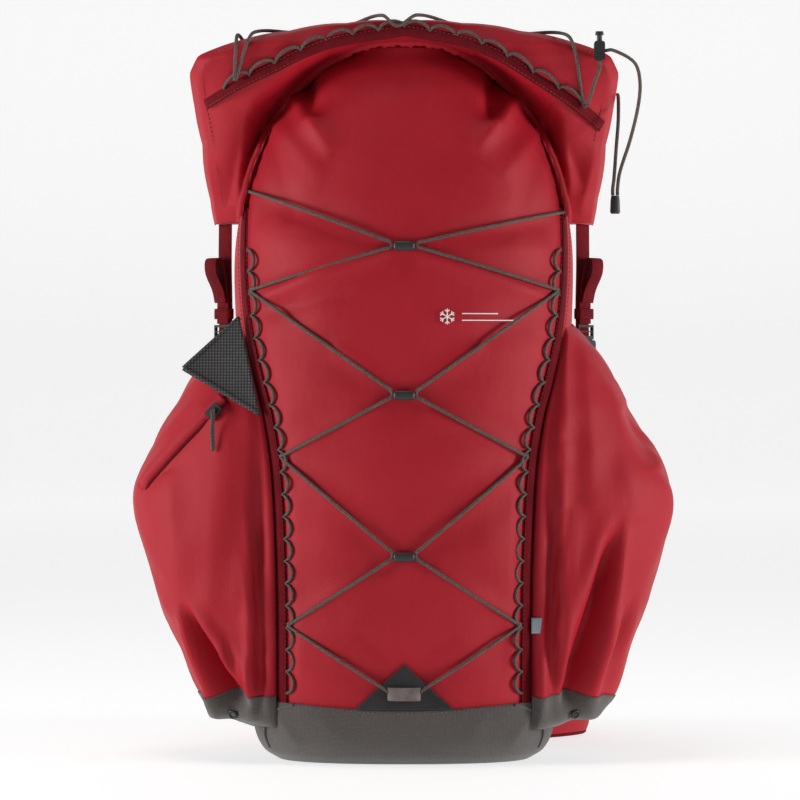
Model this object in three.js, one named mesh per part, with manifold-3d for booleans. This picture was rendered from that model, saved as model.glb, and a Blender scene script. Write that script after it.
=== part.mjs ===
// A roll-top ski touring backpack of about 33 litres, standing on its base with the roll-top closed.
// Millimetres. +Z is up, -Y is the outer face, +Y is the side that lies on the wearer's back, and +X is to
// the right when looking at the outer face. The origin is the middle of the flat base.
import * as THREE from "three";
import Module from "manifold-3d";
import { mergeVertices } from "three/addons/utils/BufferGeometryUtils.js";

const wasm = await Module();
wasm.setup();

// ---- Sizes ----------------------------------------------------------------------------------------------
const gap = 0.3; // between pieces that are sewn on, lie on or touch each other
const bag = { height: 592, halfWidth: 143, front: 120, back: 82, wall: 3, floor: 3 };
const base = { height: 54, wall: 2.5 };
const panel = { inset: 10 }; // the laced front panel, out to the middle of its tapes, where it is widest
const pocket = { low: 31, high: 378, bulge: 86, wall: 3, inset: 43, back: 68 };
const pocketBase = { height: 58 };
const hood = { rise: 28, drop: 165, reach: 36, cheek: 19, top: 19, clear: 2, front: 92, back: 88 };
const tape = { width: 10, thick: 1.6 };
const cord = { radius: 1.5, sides: 5 };
const scallop = { pitch: 19, depth: 4.5 };
const sleeve = { length: 16, height: 7.5, depth: 6 };
const patch = { halfWidth: 40, height: 40, thick: 0.8 };
const loop = { width: 26, height: 11, thick: 2.4, stand: 4.2 };
const wing = { thick: 1.6, reach: 56, hinge: 1.2, stand: 4.5 };
const zip = { radius: 2, from: 303, to: 224 };
const slider = { length: 13, width: 9, height: 5 };
const pull = { length: 36, width: 4, thick: 2.2 };
const eyelet = { outer: 4.2, inner: 2, thick: 1.6 };
const tag = { width: 8, height: 13, thick: 0.8 };
const strap = { width: 20, thick: 1.6, out: 13, y: 42, turn: 55, buckleAt: 344 };
const buckle = { wall: 1.8, length: 22, grip: 13, plate: 2.6, slot: 3.2 };
const keeper = { height: 9, wall: 1.6 };
const lock = { width: 9, depth: 7, height: 16, travel: 3 };
const hang = { drop: 118, spread: 26, end: 15, endRadius: 4.2 };
const backPad = { inset: 31, low: 60, high: 535, thick: 11 };
const lumbar = { halfWidth: 58, low: 66, high: 150, thick: 9 };
const cushion = { halfWidth: 50, low: 108, high: 148, thick: 11 };
const yoke = { halfWidth: 82, low: 488, high: 524, thick: 3 };
const frameSheet = { inset: 59, low: 40, high: 470, thick: 1.5, corner: 20 };
const stay = { width: 12, thick: 3, x: 46, end: 12 };
const shoulder = { width: 60, thick: 11, topX: 49, endX: 77, depth: 74 };
const adjuster = { width: 34, height: 20, thick: 4, bar: 4.5, clear: 3.5 };
const webbing = { thick: 1.6 };
const sternum = { z: 392, width: 15, rail: 2.2, railLength: 92, eye: 2.8 };
const haul = { width: 24, height: 30, tube: 3.2, stand: 7, z: 552 };
const belt = { height: 84, thick: 13, z: 46, webbing: 25, rootX: 64, spread: [0.5, 1] };

// ---- Materials ------------------------------------------------------------------------------------------
const paint = (color, roughness, metalness = 0) =>
  new THREE.MeshStandardMaterial({ color, roughness, metalness });
const red = paint(0xa52a38, 0.62);
const darkRed = paint(0x5c0d17, 0.75);
const heather = paint(0x57504d, 0.9);
const black = paint(0x232425, 0.85);
const mesh = paint(0x2b2b2c, 0.95);
const cordGrey = paint(0x5e5450, 0.8);
const plastic = paint(0x1b1c1d, 0.45);
const alloy = paint(0xa9acb0, 0.4, 1);
const sheetPlastic = paint(0xd9dad6, 0.5);
const label = paint(0x6f8796, 0.7);

// ---- Geometry helpers -----------------------------------------------------------------------------------
const lerp = THREE.MathUtils.lerp;
const clamp = THREE.MathUtils.clamp;
const rad = THREE.MathUtils.degToRad;

// A closed mesh as a solid for cutting and joining.
function solid(geometry) {
  const bare = geometry.clone();
  for (const name of ["normal", "uv"]) bare.deleteAttribute(name);
  const merged = mergeVertices(bare, 1e-4);
  return new wasm.Manifold(
    new wasm.Mesh({
      numProp: 3,
      vertProperties: merged.attributes.position.array,
      triVerts: new Uint32Array(merged.index.array),
    }),
  );
}

// A solid as a geometry for a mesh. Edges shorter than a hundredth of a millimetre are closed up.
function geometryOf(made) {
  const m = made.simplify(0.01).getMesh();
  const stride = m.numProp;
  const at = new Float32Array(m.numVert * 3);
  for (let i = 0; i < m.numVert; i++) at.set(m.vertProperties.subarray(i * stride, i * stride + 3), i * 3);
  return new THREE.BufferGeometry()
    .setAttribute("position", new THREE.BufferAttribute(at, 3))
    .setIndex(new THREE.BufferAttribute(m.triVerts, 1));
}

// The largest of the separate bodies that a cut leaves.
function mainBody(made) {
  return made.decompose().sort((a, b) => b.volume() - a.volume())[0];
}

function part(name, shape, material) {
  const made = new THREE.Mesh(shape.isBufferGeometry ? shape : geometryOf(shape), material);
  made.name = name;
  return made;
}

// A smooth value between keys [[place, value], ...], flat past both ends.
function smooth(keys, at) {
  const last = keys.length - 1;
  if (at <= keys[0][0]) return keys[0][1];
  if (at >= keys[last][0]) return keys[last][1];
  const i = keys.findIndex((key) => key[0] > at) - 1;
  const slope = (k) => {
    const [a, b] = [keys[Math.max(k - 1, 0)], keys[Math.min(k + 1, last)]];
    return (b[1] - a[1]) / (b[0] - a[0]);
  };
  const span = keys[i + 1][0] - keys[i][0];
  const t = (at - keys[i][0]) / span;
  const h = 1 - t;
  return (
    h * h * (1 + 2 * t) * keys[i][1] +
    t * t * (3 - 2 * t) * keys[i + 1][1] +
    h * t * span * (h * slope(i) - t * slope(i + 1))
  );
}

// A point on a rounded section, at a turn from +X. Share 0 is its middle and 1 its rim.
function rim(s, turn, share = 1) {
  const [c, k] = [Math.cos(turn), Math.sin(turn)];
  const power = 2 / (k < 0 ? s.roundFront : s.roundBack);
  const x = s.half * Math.sign(c) * Math.abs(c) ** power;
  const y = (k < 0 ? -s.front : s.back) * Math.abs(k) ** power;
  return [s.x + share * x, s.y + share * y];
}

// A closed solid through the section at each level.
function loft(sectionAt, levels, around) {
  const spans = levels.length - 1;
  const drum = new THREE.CylinderGeometry(1, 1, spans, around, spans).rotateX(Math.PI / 2);
  const at = drum.attributes.position;
  for (let i = 0; i < at.count; i++) {
    const level = levels[Math.round(at.getZ(i) + (levels.length - 1) / 2)];
    const share = Math.round(Math.hypot(at.getX(i), at.getY(i)));
    const [x, y] = rim(sectionAt(level), Math.atan2(at.getY(i), at.getX(i)), share);
    at.setXYZ(i, x, y, level);
  }
  return solid(drum);
}

// An outline drawn in the XZ plane, as a prism from one Y to another.
function frontPrism(points, fromY, toY) {
  const shape = new THREE.Shape(points.map(([x, z]) => new THREE.Vector2(x, z)));
  const settings = { depth: toY - fromY, bevelEnabled: false, curveSegments: 6 };
  const made = new THREE.ExtrudeGeometry(shape, settings);
  return made.rotateX(Math.PI / 2).translate(0, toY, 0);
}

// An outline drawn in the YZ plane, as a prism from one X to another.
function sidePrism(points, fromX, toX) {
  const shape = new THREE.Shape(points.map(([y, z]) => new THREE.Vector2(y, z)));
  const made = new THREE.ExtrudeGeometry(shape, { depth: toX - fromX, bevelEnabled: false });
  return made.rotateX(Math.PI / 2).rotateZ(Math.PI / 2).translate(fromX, 0, 0);
}

// A layer sewn on the outer face (facing -1) or the back (facing 1) of a solid, inside an outline.
function layer(host, outline, thick, facing = -1, lift = gap) {
  const reach = 400 * facing;
  const prism = solid(frontPrism(outline, Math.min(0, reach), Math.max(0, reach)));
  const proud = host.translate(0, facing * (lift + thick), 0).intersect(prism);
  return mainBody(proud.subtract(host.translate(0, facing * lift, 0)));
}

function box(width, depth, height, corner = 0) {
  if (!corner) return new THREE.BoxGeometry(width, depth, height);
  return frontPrism(roundedRectangle(width, height, corner), -depth / 2, depth / 2);
}

function roundedRectangle(width, height, corner, x = 0, z = 0) {
  const points = [];
  const steps = 2;
  for (let side = 0; side < 4; side++)
    for (let i = 0; i <= steps; i++) {
      const turn = ((side + i / steps) * Math.PI) / 2;
      const [sx, sz] = [side === 0 || side === 3 ? 1 : -1, side < 2 ? 1 : -1];
      points.push([
        x + sx * (width / 2 - corner) + corner * Math.cos(turn),
        z + sz * (height / 2 - corner) + corner * Math.sin(turn),
      ]);
    }
  return points;
}

// A section swept along a smooth curve through some points.
function sweep(points, section, steps) {
  const path = new THREE.CatmullRomCurve3(points.map((p) => new THREE.Vector3(...p)), false, "centripetal");
  const shape = new THREE.Shape(section.map(([x, y]) => new THREE.Vector2(x, y)));
  return new THREE.ExtrudeGeometry(shape, { steps, bevelEnabled: false, extrudePath: path });
}

function circle(radius, sides) {
  return Array.from({ length: sides }, (_, i) => {
    const turn = (i / sides) * 2 * Math.PI;
    return [radius * Math.cos(turn), radius * Math.sin(turn)];
  });
}

function cordAlong(points, stepLength, sides = cord.sides) {
  const stepTo = (p, i) => Math.hypot(...p.map((v, k) => v - points[i][k]));
  const length = points.slice(1).reduce((sum, p, i) => sum + stepTo(p, i), 0);
  return sweep(points, circle(cord.radius, sides), Math.round(length / stepLength));
}

// ---- The bag's shape ------------------------------------------------------------------------------------
// Shares of the bag's height, half width, front depth and back depth.
const bagKeys = [
  [0.0, 0.72, 0.52, 0.8],
  [0.014, 0.81, 0.64, 0.93],
  [0.044, 0.868, 0.735, 0.975],
  [0.1, 0.885, 0.81, 0.99],
  [0.2, 0.9, 0.9, 1],
  [0.375, 0.935, 0.975, 1],
  [0.55, 0.985, 1, 1],
  [0.72, 1, 0.965, 1],
  [0.81, 0.945, 0.9, 1],
  [0.88, 0.835, 0.815, 1],
  [0.94, 0.67, 0.715, 0.985],
  [0.977, 0.53, 0.64, 0.96],
  [1, 0.4, 0.585, 0.93],
];
const bagShare = (z, column) => smooth(bagKeys.map((key) => [key[0], key[column]]), z / bag.height);

// The bag's section at a height, grown by an offset.
function bagSection(z, offset = 0) {
  return {
    x: 0,
    y: 0,
    half: bag.halfWidth * bagShare(z, 1) + offset,
    front: bag.front * bagShare(z, 2) + offset,
    back: bag.back * bagShare(z, 3) + offset,
    roundFront: 2.4,
    roundBack: 5,
  };
}

// The Y of the bag's outer face at a place seen from the front.
function bagFront(x, z) {
  const s = bagSection(z);
  return -s.front * (1 - clamp(Math.abs(x) / s.half, 0, 1) ** s.roundFront) ** (1 / s.roundFront);
}

// Half the width of the laced panel, to the middle of the tape, as shares of the bag's height and the panel.
const panelKeys = [
  [0.08, 0.757],
  [0.2, 0.757],
  [0.305, 0.765],
  [0.415, 0.79],
  [0.485, 0.835],
  [0.545, 0.9],
  [0.613, 0.965],
  [0.68, 0.995],
  [0.75, 1],
  [0.82, 0.985],
];
const panelHalf = (z) => (bag.halfWidth - panel.inset) * smooth(panelKeys, z / bag.height);

const bagLevels = bagKeys.map(([share]) => share * bag.height);
const lifted = (levels, low, high) => [low, ...levels.filter((z) => z > low + 1 && z < high - 1), high];

const bagBottom = base.wall + gap;
const bagOuter = loft((z) => bagSection(z), lifted(bagLevels, bagBottom, bag.height), 36);
const bagRoom = loft(
  (z) => bagSection(Math.min(z, bag.height), -bag.wall),
  [...lifted(bagLevels, bagBottom + bag.floor, bag.height), bag.height + 1],
  28,
);

function mainBag() {
  return bagOuter.subtract(bagRoom);
}

const cupOuter = loft((z) => bagSection(z, base.wall + gap), lifted(bagLevels, 0, base.height), 36);
const cupRoom = loft((z) => bagSection(z, gap), lifted(bagLevels, base.wall, base.height + 1), 36);

// ---- Side pockets ---------------------------------------------------------------------------------------
// Shares of the pocket's height, of its bulge beyond the bag, and of its depth towards the back.
const pocketKeys = [
  [0, -0.17, 0.75],
  [0.02, 0.08, 0.8],
  [0.07, 0.34, 0.86],
  [0.18, 0.55, 0.95],
  [0.3, 0.76, 1],
  [0.48, 0.97, 1],
  [0.56, 1, 1],
  [0.62, 0.92, 1],
  [0.69, 0.74, 0.97],
  [0.77, 0.55, 0.8],
  [0.86, 0.38, 0.4],
  [0.94, 0.15, 0.32],
  [1, -0.12, 0.28],
];
const pocketLevels = pocketKeys.map(([share]) => lerp(pocket.low, pocket.high, share));
const pocketShare = (z, column) =>
  smooth(pocketKeys.map((key) => [key[0], key[column]]), (z - pocket.low) / (pocket.high - pocket.low));

function pocketSection(z, side, offset = 0) {
  const middle = bag.halfWidth - pocket.inset;
  return {
    x: side * middle,
    y: 0,
    half: bag.halfWidth + pocket.bulge * pocketShare(z, 1) - middle + offset,
    front: -bagFront(panelHalf(z), z) + 1 + offset,
    back: pocket.back * pocketShare(z, 2) + offset,
    roundFront: 2.2,
    roundBack: 2.6,
  };
}

// A point on the pocket's outer face, from its height and its turn from straight sideways towards the front.
function pocketPoint(z, turn, side, offset = 0) {
  const [x, y] = rim(pocketSection(z, 1, offset), -rad(turn));
  return [side * x, y, z];
}

const sewnBag = loft((z) => bagSection(z, gap + 0.4), lifted(bagLevels, -1, bag.height), 36);
const sewnCup = loft((z) => bagSection(z, base.wall + 2 * gap), lifted(bagLevels, -1, base.height + 1), 36);

function pocketShell(side, low, high) {
  const outer = loft((z) => pocketSection(z, side), pocketLevels, 26);
  const room = loft((z) => pocketSection(z, side, -pocket.wall), pocketLevels.slice(0, -1), 22);
  const slab = solid(box(900, 900, high - low)).translate(0, 0, (low + high) / 2);
  return outer.subtract(room).intersect(slab);
}

// The front panel out to the outer edges of its tapes, where the pockets begin.
function panelZone() {
  const edge = (z) => panelHalf(z) + tape.width / 2 + gap + 0.5;
  const heights = [0, ...tapeHeights];
  const side = (sign) => heights.map((z) => [sign * edge(z), z]);
  return solid(frontPrism([...side(1), ...side(-1).reverse()], -400, 0));
}

function sidePocket(side) {
  const shell = pocketShell(side, pocketBase.height + gap, pocket.high + 5);
  return mainBody(shell.subtract(sewnBag).subtract(sewnCup).subtract(panelZone()));
}

// The grey fabric under the bag and under both pockets is one piece, and holds two drain eyelets.
function baseCup() {
  const sides = [-1, 1].map((side) => pocketShell(side, pocket.low - 5, pocketBase.height).subtract(sewnBag));
  const rings = [-1, 1].map((side) => drainEyelet(side));
  const drains = [-1, 1].map((side) => drainHole(side));
  const made = [...sides, ...rings].reduce((all, one) => all.add(one), cupOuter.subtract(cupRoom));
  return mainBody(drains.reduce((all, one) => all.subtract(one), made));
}

// ---- Roll-top -------------------------------------------------------------------------------------------
const hoodTop = bag.height + hood.rise;
const hoodLow = hoodTop - hood.drop;
const hoodHalf = bag.halfWidth + hood.reach;

// Seen from the front: an arch whose inner edge clears the bag, with a cheek down each side.
function hoodArch() {
  const outer = [
    [hood.cheek + bagSection(hoodLow).half + hood.clear, hoodLow],
    [hoodHalf - 14, hoodTop - 140],
    [hoodHalf - 8, hoodTop - 82],
    [hoodHalf, hoodTop - 38],
    [hoodHalf - 7, hoodTop - 28],
    [hoodHalf * 0.77, hoodTop - 17],
    [hoodHalf * 0.3, hoodTop - 2],
    [0, hoodTop],
  ];
  const inner = [[0, hoodTop - hood.top]];
  inner.push([bagSection(bag.height).half - 8, hoodTop - hood.top - 4]);
  inner.push([bagSection(bag.height).half + hood.clear, bag.height]);
  const steps = 7;
  for (let i = 1; i <= steps; i++) {
    const z = lerp(bag.height, hoodLow, i / steps);
    inner.push([bagSection(z).half + hood.clear, z]);
  }
  const half = [...outer, ...inner.slice(1)];
  const mirror = (points) => points.map(([x, z]) => [-x, z]).reverse();
  const over = [...outer.slice(0, -1), [0, hoodTop], ...mirror(outer.slice(0, -1))];
  const under = [...mirror(inner.slice(1)), [0, hoodTop - hood.top], ...inner.slice(1, half.length)];
  return [...over, ...under];
}

// Seen from the side: the front edge first, from the cheek's foot up to the brow.
const hoodFrontEdge = [
  [strap.y - 22, hoodLow],
  [-22, hoodLow + 46],
  [-60, hoodLow + 96],
  [-hood.front + 8, hoodLow + 120],
  [-hood.front + 2, hoodTop - 31],
  [-hood.front, hoodTop - 20],
  [-hood.front + 7, hoodTop - 8],
];
const hoodProfile = [
  ...hoodFrontEdge,
  [-44, hoodTop],
  [hood.back - 36, hoodTop],
  [hood.back - 8, hoodTop - 9],
  [hood.back, hoodTop - 32],
  [hood.back - 1, hoodTop - 64],
  [strap.y + 20, hoodLow + 24],
  [strap.y + 16, hoodLow],
];
const hoodFront = (z) => {
  const above = hoodFrontEdge.filter((p) => p[1] <= z).length;
  const i = clamp(above, 1, hoodFrontEdge.length - 1);
  const [a, b] = [hoodFrontEdge[i - 1], hoodFrontEdge[i]];
  return lerp(a[0], b[0], clamp((z - a[1]) / (b[1] - a[1]), 0, 1));
};
const hoodSolid = solid(frontPrism(hoodArch(), -300, 300)).intersect(
  solid(sidePrism([...hoodProfile].reverse(), -400, 400)),
);

// The height of the tape across the roll-top, as shares of its half width and of its drop from the top.
const hoodTapeKeys = [
  [0, 0.06],
  [0.3, 0.12],
  [0.46, 0.185],
  [0.61, 0.273],
  [0.78, 0.37],
  [0.94, 0.475],
];
const hoodTape = (x) => hoodTop - hood.drop * smooth(hoodTapeKeys, Math.abs(x) / hoodHalf);

// ---- Tapes, cords and patches on the outer face ---------------------------------------------------------
function bandAlong(points, width) {
  const edge = (sign) =>
    points.map(([x, z], i) => {
      const [a, b] = [points[Math.max(i - 1, 0)], points[Math.min(i + 1, points.length - 1)]];
      const long = Math.hypot(b[0] - a[0], b[1] - a[1]);
      return [x - (sign * width * (b[1] - a[1])) / long / 2, z + (sign * width * (b[0] - a[0])) / long / 2];
    });
  return [...edge(-1), ...edge(1).reverse()];
}

const panelLow = base.height + 5;
const panelHigh = hoodLow + 28;
const tapeHeights = Array.from({ length: 15 }, (_, i) => lerp(panelLow, panelHigh, i / 14));

function panelTape(side) {
  const middle = tapeHeights.map((z) => [side * panelHalf(z), z]);
  return layer(bagOuter, bandAlong(middle, tape.width), tape.thick, -1, gap + 0.4);
}

// A point of a cord that lies on the bag's outer face.
function onBag(x, z, lift = 0) {
  const slope = (bagFront(x + 1, z) - bagFront(x - 1, z)) / 2;
  const steep = Math.hypot(1, slope);
  const out = cord.radius + gap + 0.4 + lift;
  return [x + (out * slope) / steep, bagFront(x, z) - out / steep, z];
}

// The cord that runs through the panel's tape, out and back in each scallop.
function panelScallops(side) {
  const points = [];
  const inner = tape.width / 2 + cord.radius + gap + 0.6;
  const count = Math.round((panelHigh - 14 - panelLow) / scallop.pitch);
  for (let i = 0; i <= count * 2; i++) {
    const z = panelLow + 4 + (i * scallop.pitch) / 2;
    const out = inner + (i % 2 ? scallop.depth : 0);
    points.push(onBag(side * (panelHalf(z) - out), z));
  }
  return cordAlong(points, 6.4);
}

// Where the front lacing turns, as shares of the bag's height: sleeves in the middle, hooks at the tapes.
const laceTop = 0.806;
const laceSleeves = [0.728, 0.521, 0.297];
const laceHooks = [0.669, 0.436, 0.2];
const laceEnd = base.height + 8;
const hookInset = tape.width / 2 + scallop.depth + 3 * cord.radius + 2;

function frontLace() {
  const inner = sleeve.length / 2 + cord.radius + gap;
  const corners = [];
  laceSleeves.forEach((share, i) => {
    const from = i ? laceHooks[i - 1] : laceTop;
    const hook = from * bag.height;
    const inset = hookInset - (i ? 0 : 3);
    corners.push([panelHalf(hook) - inset, hook]);
    corners.push([inner, share * bag.height]);
  });
  const lastHook = laceHooks[2] * bag.height;
  const hookX = panelHalf(lastHook) - hookInset;
  const slope = (lastHook - laceEnd) / (hookX - loop.width / 2); // a steeper lace turns further from the loop
  corners.push([hookX, lastHook], [loop.width / 2 + 3.23 * slope ** 2, laceEnd]);
  const right = [];
  corners.forEach(([x, z], i) => {
    if (i) {
      const [px, pz] = corners[i - 1];
      const lift = i === corners.length - 1 ? 1.2 : 0;
      for (const t of [0.04, 0.35, 0.65, 0.96]) right.push(onBag(lerp(px, x, t), lerp(pz, z, t), lift * t));
    } else right.push(onBag(x, z));
  });
  right.push(onBag(loop.width / 2 + 1, laceEnd, 1.2));
  const left = right.map(([x, y, z]) => [-x, y, z]);
  return cordAlong([...right, onBag(0, laceEnd, 1.2), ...left.reverse()], 15);
}

function sleeveAt(share) {
  const z = share * bag.height;
  const y = bagFront(0, z) - gap - sleeve.depth / 2;
  return box(sleeve.length, sleeve.depth, sleeve.height, 2).translate(0, y, z);
}

// A webbing loop over the end of the lacing, open at both sides.
function laceLoop() {
  const outside = [laceEnd - loop.height / 2, laceEnd + loop.height / 2];
  const back = bagFront(0, outside[1]) - patch.thick - 3 * gap - 0.6;
  const front = back - loop.stand - 2 * loop.thick;
  const blockY = (back + front) / 2;
  const block = solid(box(loop.width, back - front, loop.height, 1)).translate(0, blockY, laceEnd);
  const room = solid(box(loop.width + 2, loop.stand, 2 * cord.radius + 3));
  const tunnel = room.translate(0, onBag(0, laceEnd, 1.2)[1], laceEnd);
  return block.subtract(tunnel);
}

function hoodTapeBand() {
  const reach = hoodHalf * 0.915;
  const middle = Array.from({ length: 19 }, (_, i) => {
    const x = lerp(-reach, reach, i / 18);
    return [x, hoodTape(x)];
  });
  return layer(hoodSolid, bandAlong(middle, tape.width), tape.thick);
}

// A point of a cord on the roll-top's front, just above its tape.
function onHood(x, rise) {
  const z = hoodTape(x) + rise;
  return [x, hoodFront(Math.min(z, hoodTop - 16)) - cord.radius - gap - 1.3, z];
}

function hoodScallops() {
  const points = [];
  const reach = hoodHalf * 0.86;
  const count = 13;
  const inner = tape.width / 2 + cord.radius + gap;
  for (let i = 0; i <= count * 2; i++) {
    const x = lerp(-reach, reach, i / (count * 2));
    points.push(onHood(x, inner + (i % 2 ? scallop.depth * 0.75 : 0)));
  }
  return cordAlong(points, 6.4);
}

// The height of the roll-top's upper surface.
const hoodRoof = (x) => {
  const keys = [
    [0, hoodTop],
    [hoodHalf * 0.3, hoodTop - 2],
    [hoodHalf * 0.77, hoodTop - 17],
    [hoodHalf - 7, hoodTop - 28],
  ];
  const i = clamp(keys.findIndex((k) => k[0] > Math.abs(x)), 1, keys.length - 1);
  const [a, b] = [keys[i - 1], keys[i]];
  return lerp(a[1], b[1], clamp((Math.abs(x) - a[0]) / (b[0] - a[0]), 0, 1));
};

// The elastic cord laced from the front tape to the back of the roll-top, as shares of its half width.
function topLace() {
  const lift = 3 * cord.radius + gap - 1.6;
  const front = (share) => {
    const [x, y, z] = onHood(share * hoodHalf, 3);
    return [x, y - 4 * cord.radius - 2.4, z];
  };
  const back = (share) => [share * hoodHalf, hood.back - 40, hoodRoof(share * hoodHalf) + lift];
  const over = (a, b) => {
    const face = [lerp(a[0], b[0], 0.1), -hood.front - 3.5 - 2 * cord.radius, hoodRoof(a[0]) - 9];
    const brow = [lerp(a[0], b[0], 0.22), -hood.front + 9 - 4 * cord.radius, 0];
    brow[2] = hoodRoof(brow[0]) + lift + 1;
    const middle = [lerp(a[0], b[0], 0.6), -30, 0];
    middle[2] = hoodRoof(middle[0]) + lift;
    return a[2] < face[2] - 6 ? [face, brow, middle] : [brow, middle];
  };
  const turns = [back(-0.74), front(-0.78), back(-0.36), front(-0.03), back(0.38), front(0.84)];
  const points = [turns[0]];
  turns.slice(1).forEach((to, i) => {
    const between = i % 2 ? over(turns[i], to) : over(to, turns[i]).reverse();
    points.push(...between, to);
  });
  const [lx, ly, lz] = lockPlace;
  const foot = lz - lock.height / 2;
  const aside = lerp(points.at(-1)[0], lx, 0.7);
  points.push([aside, ly - 3, foot - 16], [lx, ly - 1, foot - 6], [lx, ly - 1, foot - 0.8]);
  return cordAlong(points, 11);
}

// ---- The cord lock and its hanging loop -----------------------------------------------------------------
const lockPlace = [hoodHalf * 0.9, -hood.front - 4, hoodRoof(hoodHalf * 0.9) - 3];

function cordLock() {
  const [x, y, z] = lockPlace;
  const barrel = solid(box(lock.width, lock.depth, lock.height, 2));
  const drill = new THREE.CylinderGeometry(2.6, 2.6, 12, 12).rotateX(Math.PI / 2);
  const well = solid(drill).translate(0, 0, lock.height / 2);
  return barrel.subtract(well).translate(x, y, z);
}

function cordLockButton() {
  const [x, y, z] = lockPlace;
  const from = lock.height / 2 - 6 + lock.travel + 0.4;
  const post = (top, bottom, high, at) =>
    solid(new THREE.CylinderGeometry(top, bottom, high, 12).rotateX(Math.PI / 2)).translate(0, 0, at);
  const stem = post(2.2, 2.2, 8, from + 4);
  const cap = post(3.2, 3.6, 3, from + 9);
  return stem.add(cap).translate(x, y, z);
}

const hangEnd = [hoodHalf - 3, -hood.front + 30, lockPlace[2] - hang.drop];

// One side of the hanging loop, from the lock out past the roll-top and down to the cord end.
const outerStrand = () => {
  const [lx, ly, lz] = lockPlace;
  const [ex, ey, ez] = hangEnd;
  return [
    [lx + lock.width / 2 + gap, ly, lz],
    [lx + lock.width / 2 + 7, ly + 1, lz + 0.5],
    [hoodHalf + hang.spread * 0.42, ly + 4, lz - 9],
    [hoodHalf + hang.spread * 0.62, ly + 10, lz - 24],
    [hoodHalf + hang.spread * 0.58, ly + 16, lz - 44],
    [hoodHalf + hang.spread * 0.34, ly + 22, lz - 72],
    [ex + 4, ey, ez + 20],
    [ex + 2, ey, ez + 6],
    [ex + 2, ey, ez + gap],
  ];
};
const innerStrand = () => {
  const [ex, ey, ez] = hangEnd;
  return [
    [hoodHalf + 1.5, ey + 44, hoodTop - 58],
    [hoodHalf + 1.5, ey + 36, hoodTop - 60],
    [hoodHalf + 1, ey + 22, hoodTop - 68],
    [hoodHalf, ey + 9, hoodTop - 84],
    [ex + 1, ey + 2, ez + 40],
    [ex - 1, ey, ez + 14],
    [ex - 2, ey, ez + 6],
    [ex - 2, ey, ez + gap],
  ];
};

function cordEnd() {
  const [x, y, z] = hangEnd;
  const r = hang.endRadius;
  const outline = [
    [0, -hang.end],
    [r - 0.8, -hang.end],
    [r, -hang.end + 1.5],
    [r * 0.92, -4],
    [r * 0.8, 0],
    [0, 0],
  ];
  const bell = new THREE.LatheGeometry(outline.map(([a, b]) => new THREE.Vector2(a, b)), 12);
  return bell.rotateX(Math.PI / 2).translate(x, y, z);
}

// ---- Side straps and buckles ----------------------------------------------------------------------------
// A side-release buckle in its own frame: width along X, flat face towards -Y, and the tongue leaves
// along +Z.
function buckleFemale(width) {
  const outside = width + 4;
  const thick = buckle.plate + 2 * buckle.wall + 0.8;
  const body = solid(box(outside, thick, buckle.length, 3));
  const slotDepth = buckle.plate + 0.8;
  const channel = solid(box(outside - 2 * buckle.wall, slotDepth, buckle.length)).translate(0, 0, 4.5);
  const window = solid(box(outside + 2, slotDepth, 8)).translate(0, 0, -2);
  const bar = solid(box(width + 0.5, thick + 2, 2.4)).translate(0, 0, -buckle.length / 2 + 3);
  return body.subtract(channel).subtract(window.subtract(solid(box(outside - 6, 20, 20)))).subtract(bar);
}

function buckleTongue(width) {
  const room = width + 4 - 2 * buckle.wall - 1;
  const mouth = buckle.length / 2;
  const frameHigh = mouth + buckle.grip;
  const half = room / 2;
  const points = [
    [-width / 2 - 2, frameHigh],
    [-width / 2 - 2, mouth + 0.6],
    [-half, mouth + 0.6],
    [-half, -1],
    [-half + 2, -5],
    [-half + 4, -5],
    [-half + 4, mouth - 2],
    [-2.4, mouth - 2],
    [-2.4, -4],
  ];
  const outline = [...points, ...points.map(([x, z]) => [-x, z]).reverse()];
  const plate = solid(frontPrism(outline, -buckle.plate / 2, buckle.plate / 2));
  const slot = solid(box(width + 0.8, 20, buckle.slot));
  const slots = [mouth + 5.2, frameHigh - 3.6].map((z) => slot.translate(0, 0, z));
  return plate.subtract(slots[0]).subtract(slots[1]);
}

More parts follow.
